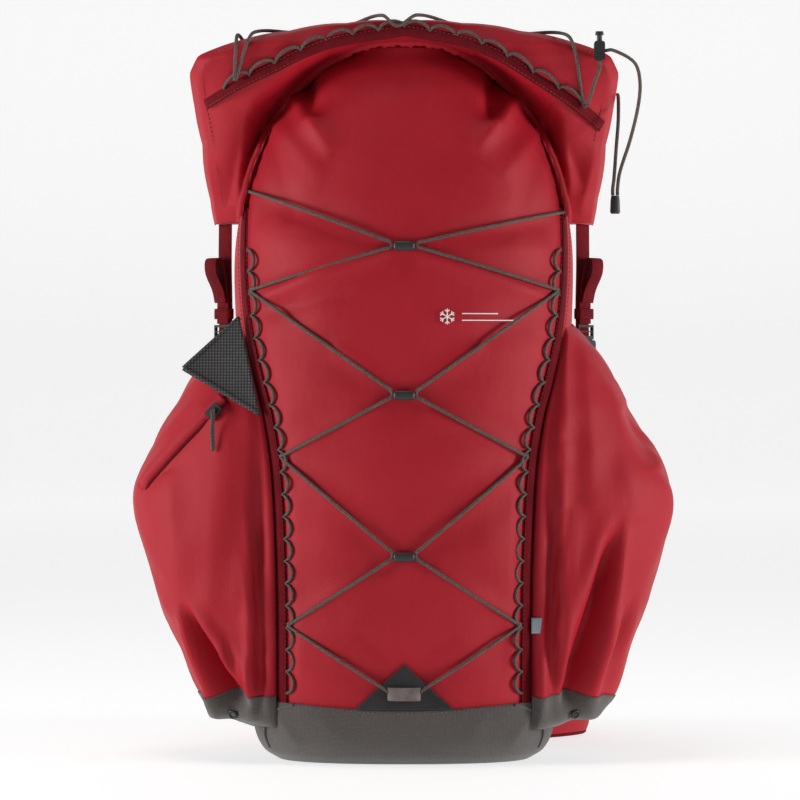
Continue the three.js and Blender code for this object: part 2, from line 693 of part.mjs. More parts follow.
// A strap from the roll-top's cheek down to its buckle, in a frame with the webbing's face towards -Y.
function sideStrap(name, side) {
  const made = new THREE.Group();
  made.position.set(side * (bag.halfWidth + strap.out), strap.y, strap.buckleAt);
  made.rotation.z = side * rad(strap.turn);
  const plateY = 0;
  const clearBack = plateY + buckle.plate / 2 + gap + strap.thick / 2 + 0.2;
  const webLow = buckle.length / 2 + 2;
  const webHigh = hoodLow - strap.buckleAt - gap;
  const web = box(strap.width, strap.thick, webHigh - webLow).translate(0, clearBack, (webHigh + webLow) / 2);
  const tab = box(strap.width, strap.thick, 12).translate(0, 0, -buckle.length / 2 - 6 - gap);
  const ringZ = buckle.length / 2 + buckle.grip + 5 + keeper.height / 2;
  const tailY = clearBack - strap.thick - 0.8;
  const [ringFront, ringBack] = [tailY - 0.6, clearBack + strap.thick / 2 + 0.5];
  const ringDepth = ringBack - ringFront;
  const ringY = (ringBack + ringFront) / 2;
  const ringWidth = strap.width + 1;
  const bothWalls = 2 * keeper.wall;
  const ring = solid(box(ringWidth + bothWalls, ringDepth + bothWalls, keeper.height)).subtract(
    solid(box(ringWidth, ringDepth, keeper.height + 2)),
  );
  const tailLow = buckle.length / 2 + buckle.grip + 1;
  const tail = sidePrism(
    [
      [tailY + 0.6, tailLow],
      [tailY + 0.6, ringZ + 12],
      [tailY - 3, ringZ + 42],
      [tailY - 7, ringZ + 48],
      [tailY - 12, ringZ + 46],
      [tailY - 13, ringZ + 38],
      [tailY - 2.6, ringZ + 8],
      [tailY - 1, ringZ + 5],
      [tailY - 1, tailLow],
    ].reverse(),
    -strap.width / 2 + 1,
    strap.width / 2 - 1,
  );
  made.add(
    part(name + "_side_strap", web, darkRed),
    part(name + "_buckle_female", buckleFemale(strap.width), plastic),
    part(name + "_buckle_tab", tab, darkRed),
    part(name + "_buckle_tongue", buckleTongue(strap.width), plastic),
    part(name + "_strap_tail", ring.translate(0, ringY, ringZ).add(solid(tail)), darkRed),
  );
  return made;
}

// A small sewn tab on the right pocket's front edge.
function sideTag() {
  const z = pocket.low + 86;
  const host = loft((level) => pocketSection(level, 1), pocketLevels, 26);
  const x = panelHalf(z) + tape.width / 2 + 3;
  return layer(host, roundedRectangle(tag.width, tag.height, 1, x + tag.width / 2, z), tag.thick);
}

// ---- Mesh wing, zip and eyelets -------------------------------------------------------------------------
// The stiff mesh wing is a flat triangle, sewn along the left tape and free at its outer corner.
const wingTopZ = 0.63 * bag.height;
const wingFootZ = 0.495 * bag.height;
function wingCorner(z) {
  const x = -(panelHalf(z) + tape.width / 2 + wing.hinge + 1);
  return new THREE.Vector3(x, bagFront(panelHalf(z), z) - wing.stand, z);
}
const wingSeam = [wingCorner(wingTopZ), wingCorner(wingFootZ)];

function meshWing() {
  const [top, foot] = wingSeam;
  const tipZ = lerp(foot.z, top.z, 0.47);
  const tip = new THREE.Vector3(lerp(foot.x, top.x, 0.47) - wing.reach, 0, tipZ);
  tip.y = lerp(foot.y, top.y, 0.47) + 9;
  const along = top.clone().sub(foot).normalize();
  const normal = tip.clone().sub(foot).cross(along).normalize();
  const across = along.clone().cross(normal);
  const flat = (p) => new THREE.Vector2(p.clone().sub(foot).dot(across), p.clone().sub(foot).dot(along));
  const shape = new THREE.Shape([flat(foot), flat(tip), flat(top)]);
  const made = new THREE.ExtrudeGeometry(shape, { depth: wing.thick, bevelEnabled: false });
  const place = new THREE.Matrix4().makeBasis(across, along, across.clone().cross(along));
  return made.applyMatrix4(place.setPosition(foot));
}

// The zip of the left pocket follows the arc through three points of the pocket's face.
function zipCircle() {
  const ends = [
    [zip.from, 61],
    [lerp(zip.from, zip.to, 0.45), 44],
    [zip.to, 24],
  ].map(([z, turn]) => new THREE.Vector3(...pocketPoint(z, turn, -1, zip.radius + gap + 2.2)));
  const [a, b, c] = ends;
  const [u, v] = [b.clone().sub(a), c.clone().sub(a)];
  const w = u.clone().cross(v);
  const centre = a
    .clone()
    .addScaledVector(w.clone().cross(u), v.lengthSq() / (2 * w.lengthSq()))
    .addScaledVector(v.clone().cross(w), u.lengthSq() / (2 * w.lengthSq()));
  const radius = centre.distanceTo(a);
  const axis = w.normalize();
  const start = a.clone().sub(centre).normalize();
  const side = axis.clone().cross(start);
  const turnOf = (p) => Math.atan2(p.clone().sub(centre).dot(side), p.clone().sub(centre).dot(start));
  const end = turnOf(c);
  const at = (turn, r = radius) =>
    centre.clone().addScaledVector(start, r * Math.cos(turn)).addScaledVector(side, r * Math.sin(turn));
  return { centre, radius, axis, end, at };
}
const zipPath = zipCircle();

function zipCoil() {
  const points = Array.from({ length: 10 }, (_, i) => zipPath.at((zipPath.end * i) / 9).toArray());
  return sweep(points, circle(zip.radius, 6), 14);
}

const sliderTurn = slider.length / 2 / zipPath.radius + 0.02;
const sliderOut = zip.radius + gap + 0.3;

// Axes of a frame on the zip: along it, across it and out from the pocket.
function zipFrame(turn) {
  const out = zipPath.at(turn).sub(zipPath.centre).normalize();
  const along = zipPath.axis.clone().cross(out);
  const [x, y, z] = [along, zipPath.axis.clone(), out];
  return new THREE.Matrix4().makeBasis(x, y, z).setPosition(zipPath.at(turn));
}

function zipSlider() {
  const plateHigh = slider.height - 2;
  const plate = solid(box(slider.length, slider.width, plateHigh)).translate(0, 0, sliderOut + plateHigh / 2);
  const bail = solid(box(6, 3, 3.6)).translate(0, 0, sliderOut + slider.height - 1.4);
  const eye = solid(box(2.2, 8, 1.8)).translate(0, 0, sliderOut + slider.height - 1.2);
  return geometryOf(plate.add(bail).subtract(eye)).applyMatrix4(zipFrame(sliderTurn));
}
const pullHinge = new THREE.Vector3(0, 0, sliderOut + slider.height + 1.6).applyMatrix4(zipFrame(sliderTurn));

function zipPull() {
  const stalk = box(pull.width, pull.thick, pull.length, 1).translate(0, 0, -pull.length / 2 + 1.5);
  return stalk.translate(pullHinge.x, pullHinge.y - 1.2, pullHinge.z);
}

function drainPlace(side) {
  const z = lerp(pocket.low, pocketBase.height, 0.32);
  const turn = 58;
  const at = new THREE.Vector3(...pocketPoint(z, turn, side));
  const up = new THREE.Vector3(...pocketPoint(z + 1, turn, side)).sub(at);
  const along = new THREE.Vector3(...pocketPoint(z, turn + 1, side)).sub(at);
  const normal = up.cross(along).normalize();
  if (normal.x * side < 0) normal.negate();
  const turned = new THREE.Quaternion().setFromUnitVectors(new THREE.Vector3(0, 1, 0), normal);
  return new THREE.Matrix4().makeRotationFromQuaternion(turned).setPosition(at);
}
function drainEyelet(side) {
  const disc = new THREE.CylinderGeometry(eyelet.outer - 1, eyelet.outer, 2 * eyelet.thick, 14);
  return solid(disc.applyMatrix4(drainPlace(side)));
}
function drainHole(side) {
  const drill = new THREE.CylinderGeometry(eyelet.inner, eyelet.inner, 20, 10);
  return solid(drill.applyMatrix4(drainPlace(side)));
}

// ---- Frame inside, and the carrying system on the back ---------------------------------------------------
const insideBack = bag.back - bag.wall - 4.8;

function sheetPlate() {
  const { inset, low, high, thick, corner } = frameSheet;
  const plate = box(2 * (bag.halfWidth - inset), thick, high - low, corner);
  return plate.translate(0, insideBack - thick / 2, (high + low) / 2);
}

// One flat alloy bar, bent into an upside-down U on the inner face of the sheet.
function frameStay() {
  const y = insideBack - frameSheet.thick - gap - stay.thick / 2;
  const [low, high] = [frameSheet.low + stay.end, frameSheet.high - stay.end];
  const outer = box(2 * stay.x, stay.thick, high - low, 24);
  const inner = box(2 * (stay.x - stay.width), stay.thick + 2, high - low - stay.width, 16);
  const opened = solid(outer).subtract(solid(inner).translate(0, 0, -stay.width / 2 - 0.01));
  const legGap = solid(box(2 * (stay.x - stay.width), stay.thick + 2, 60));
  const legs = legGap.translate(0, 0, -(high - low) / 2 + 20);
  return opened.subtract(legs).translate(0, y, (high + low) / 2);
}

const padFace = bag.back + gap + backPad.thick; // the Y that the back pad's surface reaches
const rectangle = (halfWidth, low, high, corner) =>
  roundedRectangle(2 * halfWidth, high - low, corner, 0, (low + high) / 2);
const backPadOutline = rectangle(bag.halfWidth - backPad.inset, backPad.low, backPad.high, 30);

// A raised area of the back pad.
function raised(size, corner) {
  const plate = box(2 * size.halfWidth, size.thick + 4, size.high - size.low, corner);
  return solid(plate).translate(0, padFace + size.thick / 2 - 2, (size.high + size.low) / 2);
}
function backPanel() {
  const pad = layer(bagOuter, backPadOutline, backPad.thick, 1, gap + 0.2);
  return pad.add(raised(lumbar, 16)).add(raised(cushion, 12)).add(raised(yoke, 6));
}

// The path of a shoulder pad seen from the side, as [share of its fall, share of its depth, share across].
const shoulderTop = padFace + 0.6 + yoke.thick + shoulder.thick / 2 + 3.2;
const shoulderKeys = [
  [0.02, 0, 0],
  [-0.07, 0.24, 0.03],
  [-0.075, 0.55, 0.08],
  [0.05, 0.86, 0.2],
  [0.22, 1, 0.38],
  [0.45, 1, 0.6],
  [0.68, 0.82, 0.8],
  [0.93, 0.5, 1],
];
const shoulderFall = 275;
function shoulderPoint([fall, depth, across], side) {
  const x = side * lerp(shoulder.topX, shoulder.endX, across);
  return [x, shoulderTop + depth * shoulder.depth, yoke.high - 6 - fall * shoulderFall];
}
function shoulderPath(side) {
  const points = shoulderKeys.map((key) => new THREE.Vector3(...shoulderPoint(key, side)));
  return new THREE.CatmullRomCurve3(points, false, "centripetal");
}

function shoulderPad(side) {
  const points = shoulderKeys.map((key) => shoulderPoint(key, side));
  const pad = solid(sweep(points, roundedRectangle(shoulder.width, shoulder.thick, 4), 17));
  return pad.add(sternumRail(side));
}

// The webbing adjuster under the end of a shoulder pad: a frame with two slots, hinged along its top edge.
function padEnd(side) {
  const path = shoulderPath(side);
  return { at: path.getPoint(1), along: path.getTangent(1) };
}
function adjusterFrame(side) {
  const { at, along } = padEnd(side);
  const { width, height, thick, bar, clear } = adjuster;
  const slotHeight = (height - 3 * bar) / 2;
  const plate = solid(box(width, thick, height, 2));
  const slot = (z) => solid(box(width - 2 * bar, thick + 2, slotHeight)).translate(0, 0, z);
  const shift = bar / 2 + slotHeight / 2;
  const made = geometryOf(plate.subtract(slot(shift)).subtract(slot(-shift)));
  const tilt = Math.atan2(-along.y, -along.z);
  made.translate(0, 0, -height / 2 - clear);
  return made.rotateX(-tilt).translate(at.x, at.y, at.z);
}
function adjusterFoot(side) {
  const { at, along } = padEnd(side);
  return at.clone().addScaledVector(along.clone().normalize(), adjuster.height + adjuster.clear + 4);
}

// A flat strip of webbing between two points. Its face looks along +Y as nearly as it can.
function strip(from, to, width, thick) {
  const along = to.clone().sub(from);
  const length = along.length();
  along.normalize();
  const across = new THREE.Vector3(0, 1, 0).cross(along).normalize();
  const place = new THREE.Matrix4().makeBasis(across, along.clone().cross(across), along);
  return box(width, thick, length).applyMatrix4(place.setPosition(from.clone().add(to).multiplyScalar(0.5)));
}

const anchorZ = 168;
function lowerWebbing(side) {
  const from = adjusterFoot(side);
  const to = new THREE.Vector3(side * (bag.halfWidth - backPad.inset - 14), padFace + 3, anchorZ);
  return strip(from, to, strap.width, webbing.thick);
}

function haulLoop() {
  const y = padFace + haul.stand;
  const half = haul.width / 2;
  const points = [
    [-half, y, haul.z - haul.height],
    [-half * 0.98, y + 1, haul.z - 12],
    [-half * 0.7, y + 2, haul.z - 2],
    [0, y + 3, haul.z],
    [half * 0.7, y + 2, haul.z - 2],
    [half * 0.98, y + 1, haul.z - 12],
    [half, y, haul.z - haul.height],
  ];
  return sweep(points, circle(haul.tube, 8), 18);
}

// ---- Sternum strap --------------------------------------------------------------------------------------
// The rails lie on the outer face of the straight stretch of each pad, and the strap slides along them.
const railY = shoulderTop + shoulder.depth + shoulder.thick / 2 + 8;
const railX = lerp(shoulder.topX, shoulder.endX, 0.5) - 12;

function sternumRail(side) {
  const rod = new THREE.CylinderGeometry(sternum.rail, sternum.rail, sternum.railLength, 8);
  const rail = solid(rod.rotateX(Math.PI / 2));
  const foot = solid(box(2 * sternum.rail, 14, 6)).translate(0, -6, 0);
  const ends = [-1, 1].map((end) => foot.translate(0, 0, (end * (sternum.railLength - 6)) / 2));
  return rail.add(ends[0]).add(ends[1]).translate(side * railX, railY, sternum.z);
}

// The buckle lies along X with its tongue leaving towards +X.
const sternumY = railY + sternum.rail + sternum.eye + 1;
function alongX(made, x) {
  const bare = made.isBufferGeometry ? made : geometryOf(made);
  return bare.rotateY(Math.PI / 2).translate(x, sternumY, sternum.z);
}
const sternumBuckleX = -3;
function sternumWebbing(side) {
  const far = railX + 6;
  const from = side < 0 ? -far : sternumBuckleX + buckle.length / 2 + 3;
  const to = side < 0 ? sternumBuckleX - buckle.length / 2 - gap : far;
  const y = side < 0 ? sternumY : sternumY - buckle.plate / 2 - gap - webbing.thick / 2 - 0.2;
  const band = solid(box(to - from, webbing.thick, sternum.width)).translate((from + to) / 2, y, sternum.z);
  const hole = sternum.rail + 0.5;
  const eye = new THREE.CylinderGeometry(hole + webbing.thick, hole + webbing.thick, sternum.width, 14);
  const bore = new THREE.CylinderGeometry(hole, hole, sternum.width + 2, 14);
  const place = (made) => solid(made.rotateX(Math.PI / 2)).translate(side * railX, railY, sternum.z);
  const bridge = solid(box(5, y - railY, sternum.width)).translate(side * railX, (y + railY) / 2, sternum.z);
  return band.add(place(eye)).add(bridge).subtract(place(bore));
}

// ---- Hip belt -------------------------------------------------------------------------------------------
const beltKeys = [
  [-16, 0],
  [8, 2],
  [48, 24],
  [82, 52],
  [98, 80],
  [92, 110],
  [66, 132],
];
const beltRootY = bag.back + backPad.thick + lumbar.thick + belt.thick / 2 + 7 * gap;

// The left wing is folded closer behind the bag than the right one.
function beltPoint([x, y], side) {
  const spread = belt.spread[side < 0 ? 0 : 1];
  return [side * (belt.rootX + x * spread), beltRootY + y, belt.z];
}

function beltWing(side) {
  const points = beltKeys.map((key) => beltPoint(key, side));
  return sweep(points, roundedRectangle(belt.height, belt.thick, 5), 12);
}

function beltWebbing(side) {
  const [tipX, tipY, z] = beltPoint(beltKeys.at(-1), side);
  const reach = side < 0 ? 48 : 38;
  const path = [[-4, 1.6], [-14, 9], [-26, 15], [-38, 16], [-reach, 16]].slice(0, side < 0 ? 5 : 4);
  const corners = [[1, 1], [-1, 1], [-1, -1], [1, -1]];
  const band = corners.map(([x, y]) => [(x * belt.webbing) / 2, (y * webbing.thick) / 2]);
  return sweep(path.map(([x, y]) => [tipX + side * x, tipY + y, z]), band, 7);
}

// The buckle halves hang apart, each with its webbing edge towards its own wing.
function beltBuckle(made, side, start) {
  const [tipX, tipY, z] = beltPoint(beltKeys.at(-1), side);
  const y = tipY + 16 + (side < 0 ? buckle.plate / 2 + webbing.thick / 2 + gap + 0.2 : 0);
  return geometryOf(made).rotateY(-Math.PI / 2).translate(tipX - side * (38.5 + start), y, z);
}

// ---- Assembly -------------------------------------------------------------------------------------------
const backpack = new THREE.Group();

backpack.add(
  part("main_bag", mainBag(), red),
  part("base_cup", baseCup(), heather),
  part("left_tape", panelTape(-1), darkRed),
  part("right_tape", panelTape(1), darkRed),
  part("left_loop_cord", panelScallops(-1), cordGrey),
  part("right_loop_cord", panelScallops(1), cordGrey),
  part("front_lace", frontLace(), cordGrey),
);
laceSleeves.forEach((share, i) => {
  backpack.add(part(["upper", "middle", "lower"][i] + "_lace_sleeve", sleeveAt(share), plastic));
});
const patchTop = base.height + patch.height - 8;
const frontPatch = [
  [-patch.halfWidth, base.height + 2],
  [patch.halfWidth, base.height + 2],
  [0, patchTop],
];
backpack.add(
  part("front_patch", layer(bagOuter, frontPatch, patch.thick), black),
  part("lace_loop", laceLoop(), cordGrey),
);

for (const [name, side] of [["left", -1], ["right", 1]]) {
  backpack.add(
    part(name + "_side_pocket", sidePocket(side), red),
  );
  backpack.add(sideStrap(name, side));
}

backpack.add(
  part("side_tag", sideTag(), label),
  part("mesh_wing", meshWing(), mesh),
  part("pocket_zip", zipCoil(), darkRed),
  part("zip_slider", zipSlider(), plastic),
  part("zip_pull", zipPull(), cordGrey),
);

backpack.add(
  part("roll_top", hoodSolid, red),
  part("roll_top_tape", hoodTapeBand(), darkRed),
  part("roll_top_loop_cord", hoodScallops(), cordGrey),
  part("top_lace", topLace(), cordGrey),
  part("cord_lock", cordLock(), plastic),
  part("cord_lock_button", cordLockButton(), plastic),
  part("hanging_cord_outer", cordAlong(outerStrand(), 7, 8), cordGrey),
  part("hanging_cord_inner", cordAlong(innerStrand(), 7, 8), cordGrey),
  part("cord_end", cordEnd(), plastic),
);

backpack.add(
  part("frame_sheet", sheetPlate(), sheetPlastic),
  part("frame_stay", frameStay(), alloy),
  part("back_panel", backPanel(), black),
  part("haul_loop", haulLoop(), darkRed),
);
for (const [name, side] of [["left", -1], ["right", 1]]) {
  backpack.add(
    part(name + "_shoulder_pad", shoulderPad(side), red),
    part(name + "_strap_adjuster", adjusterFrame(side), plastic),
    part(name + "_lower_webbing", lowerWebbing(side), darkRed),
    part(name + "_sternum_webbing", sternumWebbing(side), darkRed),
  );
}
const beltTongue = buckleTongue(belt.webbing).rotate(0, 180, 0);
backpack.add(
  part("sternum_female", alongX(buckleFemale(sternum.width), sternumBuckleX), plastic),
  part("sternum_tongue", alongX(buckleTongue(sternum.width), sternumBuckleX), plastic),
  part("right_belt_wing", beltWing(1), red),
  part("left_belt_wing", beltWing(-1), red),
  part("right_belt_webbing", beltWebbing(1), darkRed),
  part("left_belt_webbing", beltWebbing(-1), darkRed),
  part("belt_female", beltBuckle(buckleFemale(belt.webbing), 1, buckle.length / 2), plastic),
  part("belt_tongue", beltBuckle(beltTongue, -1, buckle.length / 2 + buckle.grip), plastic),
);

export default backpack;
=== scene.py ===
# The looks of the roll-top ski backpack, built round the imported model. Lengths in this file are in
# millimetres unless a comment says otherwise, and become metres where a mesh is made.
import math

import bpy
import bmesh
import numpy as np
from mathutils import Matrix, Vector


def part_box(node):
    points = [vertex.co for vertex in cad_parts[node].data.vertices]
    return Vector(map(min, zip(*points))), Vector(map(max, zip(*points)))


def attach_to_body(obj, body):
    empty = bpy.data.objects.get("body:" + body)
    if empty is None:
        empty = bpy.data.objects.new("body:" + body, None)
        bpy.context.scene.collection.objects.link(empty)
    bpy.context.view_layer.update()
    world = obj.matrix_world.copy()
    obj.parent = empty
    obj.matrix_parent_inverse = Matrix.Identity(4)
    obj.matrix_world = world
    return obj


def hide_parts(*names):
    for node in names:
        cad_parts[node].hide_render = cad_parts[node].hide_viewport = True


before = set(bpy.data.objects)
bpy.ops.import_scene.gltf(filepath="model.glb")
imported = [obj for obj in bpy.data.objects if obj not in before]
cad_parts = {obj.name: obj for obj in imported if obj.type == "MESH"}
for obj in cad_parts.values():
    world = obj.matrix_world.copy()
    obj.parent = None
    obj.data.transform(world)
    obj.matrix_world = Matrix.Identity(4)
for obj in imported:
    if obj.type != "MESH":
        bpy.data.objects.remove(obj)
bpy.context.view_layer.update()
MM = 0.001

# ---- Sizes, the same as the model's ---------------------------------------------------------------------
BAG = dict(height=592, half=143, front=120, back=82)
BASE_HIGH = 54
BASE_WALL = 2.8
PANEL_HALF = 133
POCKET = dict(low=31, high=378, bulge=86, inset=43, back=68)
HOOD_TOP = 620
HOOD_LOW = 455
HOOD_HALF = 179
HOOD_FRONT = 92
HOOD_BACK = 88
TAPE = 10
CORD = 1.5
LOOP_CORD = 1.35
STRAP_Y = 42
BAG_CLOTH = 1.6
POCKET_CLOTH = 1.4
BINDING = 2.4
STITCH = 2.4
STITCH_GAP = 1.3
# How strongly the creases listed for each part are pressed into it.
FRONT_CREASING = 2.3
POCKET_CREASING = 1.9
HOOD_CREASING = 3.0

# Shares of the bag's height, half width, front depth and back depth.
BAG_KEYS = [
    (0.0, 0.72, 0.52, 0.8),
    (0.014, 0.81, 0.64, 0.93),
    (0.044, 0.868, 0.735, 0.975),
    (0.1, 0.885, 0.81, 0.99),
    (0.2, 0.9, 0.9, 1),
    (0.375, 0.935, 0.975, 1),
    (0.55, 0.985, 1, 1),
    (0.72, 1, 0.965, 1),
    (0.81, 0.945, 0.9, 1),
    (0.88, 0.835, 0.815, 1),
    (0.94, 0.67, 0.715, 0.985),
    (0.977, 0.53, 0.64, 0.96),
    (1, 0.4, 0.585, 0.93),
    (1.012, 0.34, 0.57, 0.9),
]
# Shares of the pocket's height, its bulge beyond the bag, and its depth towards the back.
POCKET_KEYS = [
    (0, -0.17, 0.75),
    (0.02, 0.08, 0.8),
    (0.07, 0.34, 0.86),
    (0.18, 0.55, 0.95),
    (0.3, 0.76, 1),
    (0.48, 0.97, 1),
    (0.56, 1, 1),
    (0.62, 0.92, 1),
    (0.69, 0.74, 0.97),
    (0.77, 0.55, 0.8),
    (0.86, 0.38, 0.4),
    (0.94, 0.15, 0.32),
    (1, -0.12, 0.28),
]
# Half the width of the laced panel: shares of the bag's height and of the panel's greatest half width.
PANEL_KEYS = [
    (0.08, 0.757),
    (0.2, 0.757),
    (0.305, 0.765),
    (0.415, 0.79),
    (0.485, 0.835),
    (0.545, 0.9),
    (0.613, 0.965),
    (0.68, 0.995),
    (0.75, 1),
    (0.82, 0.985),
]
# The tape across the roll-top: shares of its half width and of the drop from the top.
HOOD_TAPE_KEYS = [(0, 0.06), (0.3, 0.12), (0.46, 0.185), (0.61, 0.273), (0.78, 0.37), (0.94, 0.475)]
# The roll-top's front edge seen from the side, (y, z) from the cheek's foot to the brow.
HOOD_EDGE = [(2, 455), (-38, 501), (-70, 551), (-86, 575), (-91, 589), (-92, 600), (-85, 612)]


# ---- Shape functions ------------------------------------------------------------------------------------
def smooth(keys, at):
    """A smooth value between keys [(place, value), ...], flat past both ends. at may be an array."""
    places = np.array([key[0] for key in keys], float)
    values = np.array([key[1] for key in keys], float)
    slopes = np.empty_like(values)
    slopes[1:-1] = (values[2:] - values[:-2]) / (places[2:] - places[:-2])
    slopes[0] = (values[1] - values[0]) / (places[1] - places[0])
    slopes[-1] = (values[-1] - values[-2]) / (places[-1] - places[-2])
    at = np.clip(np.asarray(at, float), places[0], places[-1])
    i = np.clip(np.searchsorted(places, at, side="right") - 1, 0, len(places) - 2)
    span = places[i + 1] - places[i]
    t = (at - places[i]) / span
    h = 1 - t
    ends = h * h * (1 + 2 * t) * values[i] + t * t * (3 - 2 * t) * values[i + 1]
    return ends + h * t * span * (h * slopes[i] - t * slopes[i + 1])


def column(keys, number):
    return [(key[0], key[number]) for key in keys]


def lerp(a, b, t):
    return a + (b - a) * t


def ease(a, b, at):
    """0 before a, 1 after b, smooth between."""
    t = np.clip((at - a) / (b - a), 0, 1)
    return t * t * (3 - 2 * t)


def bag_section(z, offset=0.0):
    share = z / BAG["height"]
    half = BAG["half"] * smooth(column(BAG_KEYS, 1), share) + offset
    front = BAG["front"] * smooth(column(BAG_KEYS, 2), share) + offset
    back = BAG["back"] * smooth(column(BAG_KEYS, 3), share) + offset
    return half, front, back


def bag_front(x, z):
    """The Y of the bag's outer face at a place seen from the front."""
    half, front, _ = bag_section(z)
    return -front * (1 - np.clip(np.abs(x) / half, 0, 1) ** 2.4) ** (1 / 2.4)


def panel_half(z):
    return PANEL_HALF * smooth(PANEL_KEYS, z / BAG["height"])


def rim(half, front, back, turn, round_front, round_back, x0=0.0):
    """A point on a rounded section, at a turn from +X."""
    c, k = np.cos(turn), np.sin(turn)
    power = np.where(k < 0, 2 / round_front, 2 / round_back)
    x = half * np.sign(c) * np.abs(c) ** power
    y = np.where(k < 0, -front, back) * np.abs(k) ** power
    return x0 + x, y


def pocket_section(z):
    share = (z - POCKET["low"]) / (POCKET["high"] - POCKET["low"])
    middle = BAG["half"] - POCKET["inset"]
    half = BAG["half"] + POCKET["bulge"] * smooth(column(POCKET_KEYS, 1), share) - middle
    front = -bag_front(panel_half(z), z) + 1
    back = POCKET["back"] * smooth(column(POCKET_KEYS, 2), share)
    return middle, half, front, back


def pocket_front(x, z):
    """The Y of the right pocket's outer face at a place seen from the front."""
    middle, half, front, _ = pocket_section(z)
    return -front * (1 - np.clip(np.abs(x - middle) / half, 0, 1) ** 2.2) ** (1 / 2.2)


def hood_front(z):
    edge = np.array(HOOD_EDGE, float)
    return np.interp(z, edge[:, 1], edge[:, 0])


def hood_turn(x, z):
    """How far the roll-top's cheeks curve back towards their outer edges."""
    return 0.01 * max(abs(x) - 118, 0) ** 2 * float(1 - ease(545, 595, z))


def hood_tape(x):
    """The height of the tape's middle. The tape lies a little higher on the left than on the right."""
    return HOOD_TOP - 165 * smooth(HOOD_TAPE_KEYS, np.abs(x) / HOOD_HALF) - 9 * x * np.abs(x) / 166**2


def hood_roof(x):
    places = (0, HOOD_HALF * 0.3, HOOD_HALF * 0.77, HOOD_HALF - 7)
    return np.interp(np.abs(x), places, (HOOD_TOP, HOOD_TOP - 2, HOOD_TOP - 17, HOOD_TOP - 28))


def on_bag(x, z, out):
    """A point that stands out from the bag's outer face."""
    slope = (bag_front(x + 1, z) - bag_front(x - 1, z)) / 2
    steep = math.hypot(1, slope)
    return np.array([x + out * slope / steep, bag_front(x, z) - out / steep, z])


def ripple(a, b, seed, size):
    """Soft irregular waves over a plane, about 1 high, each about size millimetres long."""
    total = 0
    turn = 0.7 + seed
    for k in range(7):
        turn += 2.399963
        length = size * (0.6 + 0.17 * k)
        along = a * math.cos(turn) + b * math.sin(turn)
        total = total + np.sin(along * 2 * math.pi / length + seed * (k + 1) * 1.7)
    return total / 3.5


def fold(a, b, start, end, width, height):
    """A long soft ridge from start to end that fades out at both ends. A negative height is a groove."""
    (ax, bx), (ay, by) = (start[0], end[0]), (start[1], end[1])
    dx, dy = bx - ax, by - ay
    long = math.hypot(dx, dy)
    t = ((a - ax) * dx + (b - ay) * dy) / long**2
    away = np.abs((a - ax) * dy - (b - ay) * dx) / long
    fade = np.sqrt(np.clip(4 * t * (1 - t), 0, 1))
    return height * fade * np.exp(-((away / width) ** 1.5))


def pleat(a, b, start, end, width, depth):
    """A deep groove that opens towards end, with a lip raised along its left side as seen from start."""
    (ax, bx), (ay, by) = (start[0], end[0]), (start[1], end[1])
    dx, dy = bx - ax, by - ay
    long = math.hypot(dx, dy)
    t = ((a - ax) * dx + (b - ay) * dy) / long**2
    away = ((a - ax) * dy - (b - ay) * dx) / long
    open_ = width * (0.35 + 0.65 * np.clip(t, 0, 1))
    fade = ease(0, 0.45, t) * (1 - ease(0.93, 1.12, t))
    groove = -np.exp(-((away / open_) ** 2))
    lip = 0.55 * np.exp(-(((away + 1.7 * open_) / open_) ** 2))
    far_lip = 0.3 * np.exp(-(((away - 2.2 * open_) / (1.4 * open_)) ** 2))
    return depth * fade * (groove + (lip + far_lip))


# ---- Materials ------------------------------------------------------------------------------------------
def srgb(r, g, b):
    def linear(v):
        v /= 255
        return v / 12.92 if v <= 0.04045 else ((v + 0.055) / 1.055) ** 2.4

    return (linear(r), linear(g), linear(b), 1)


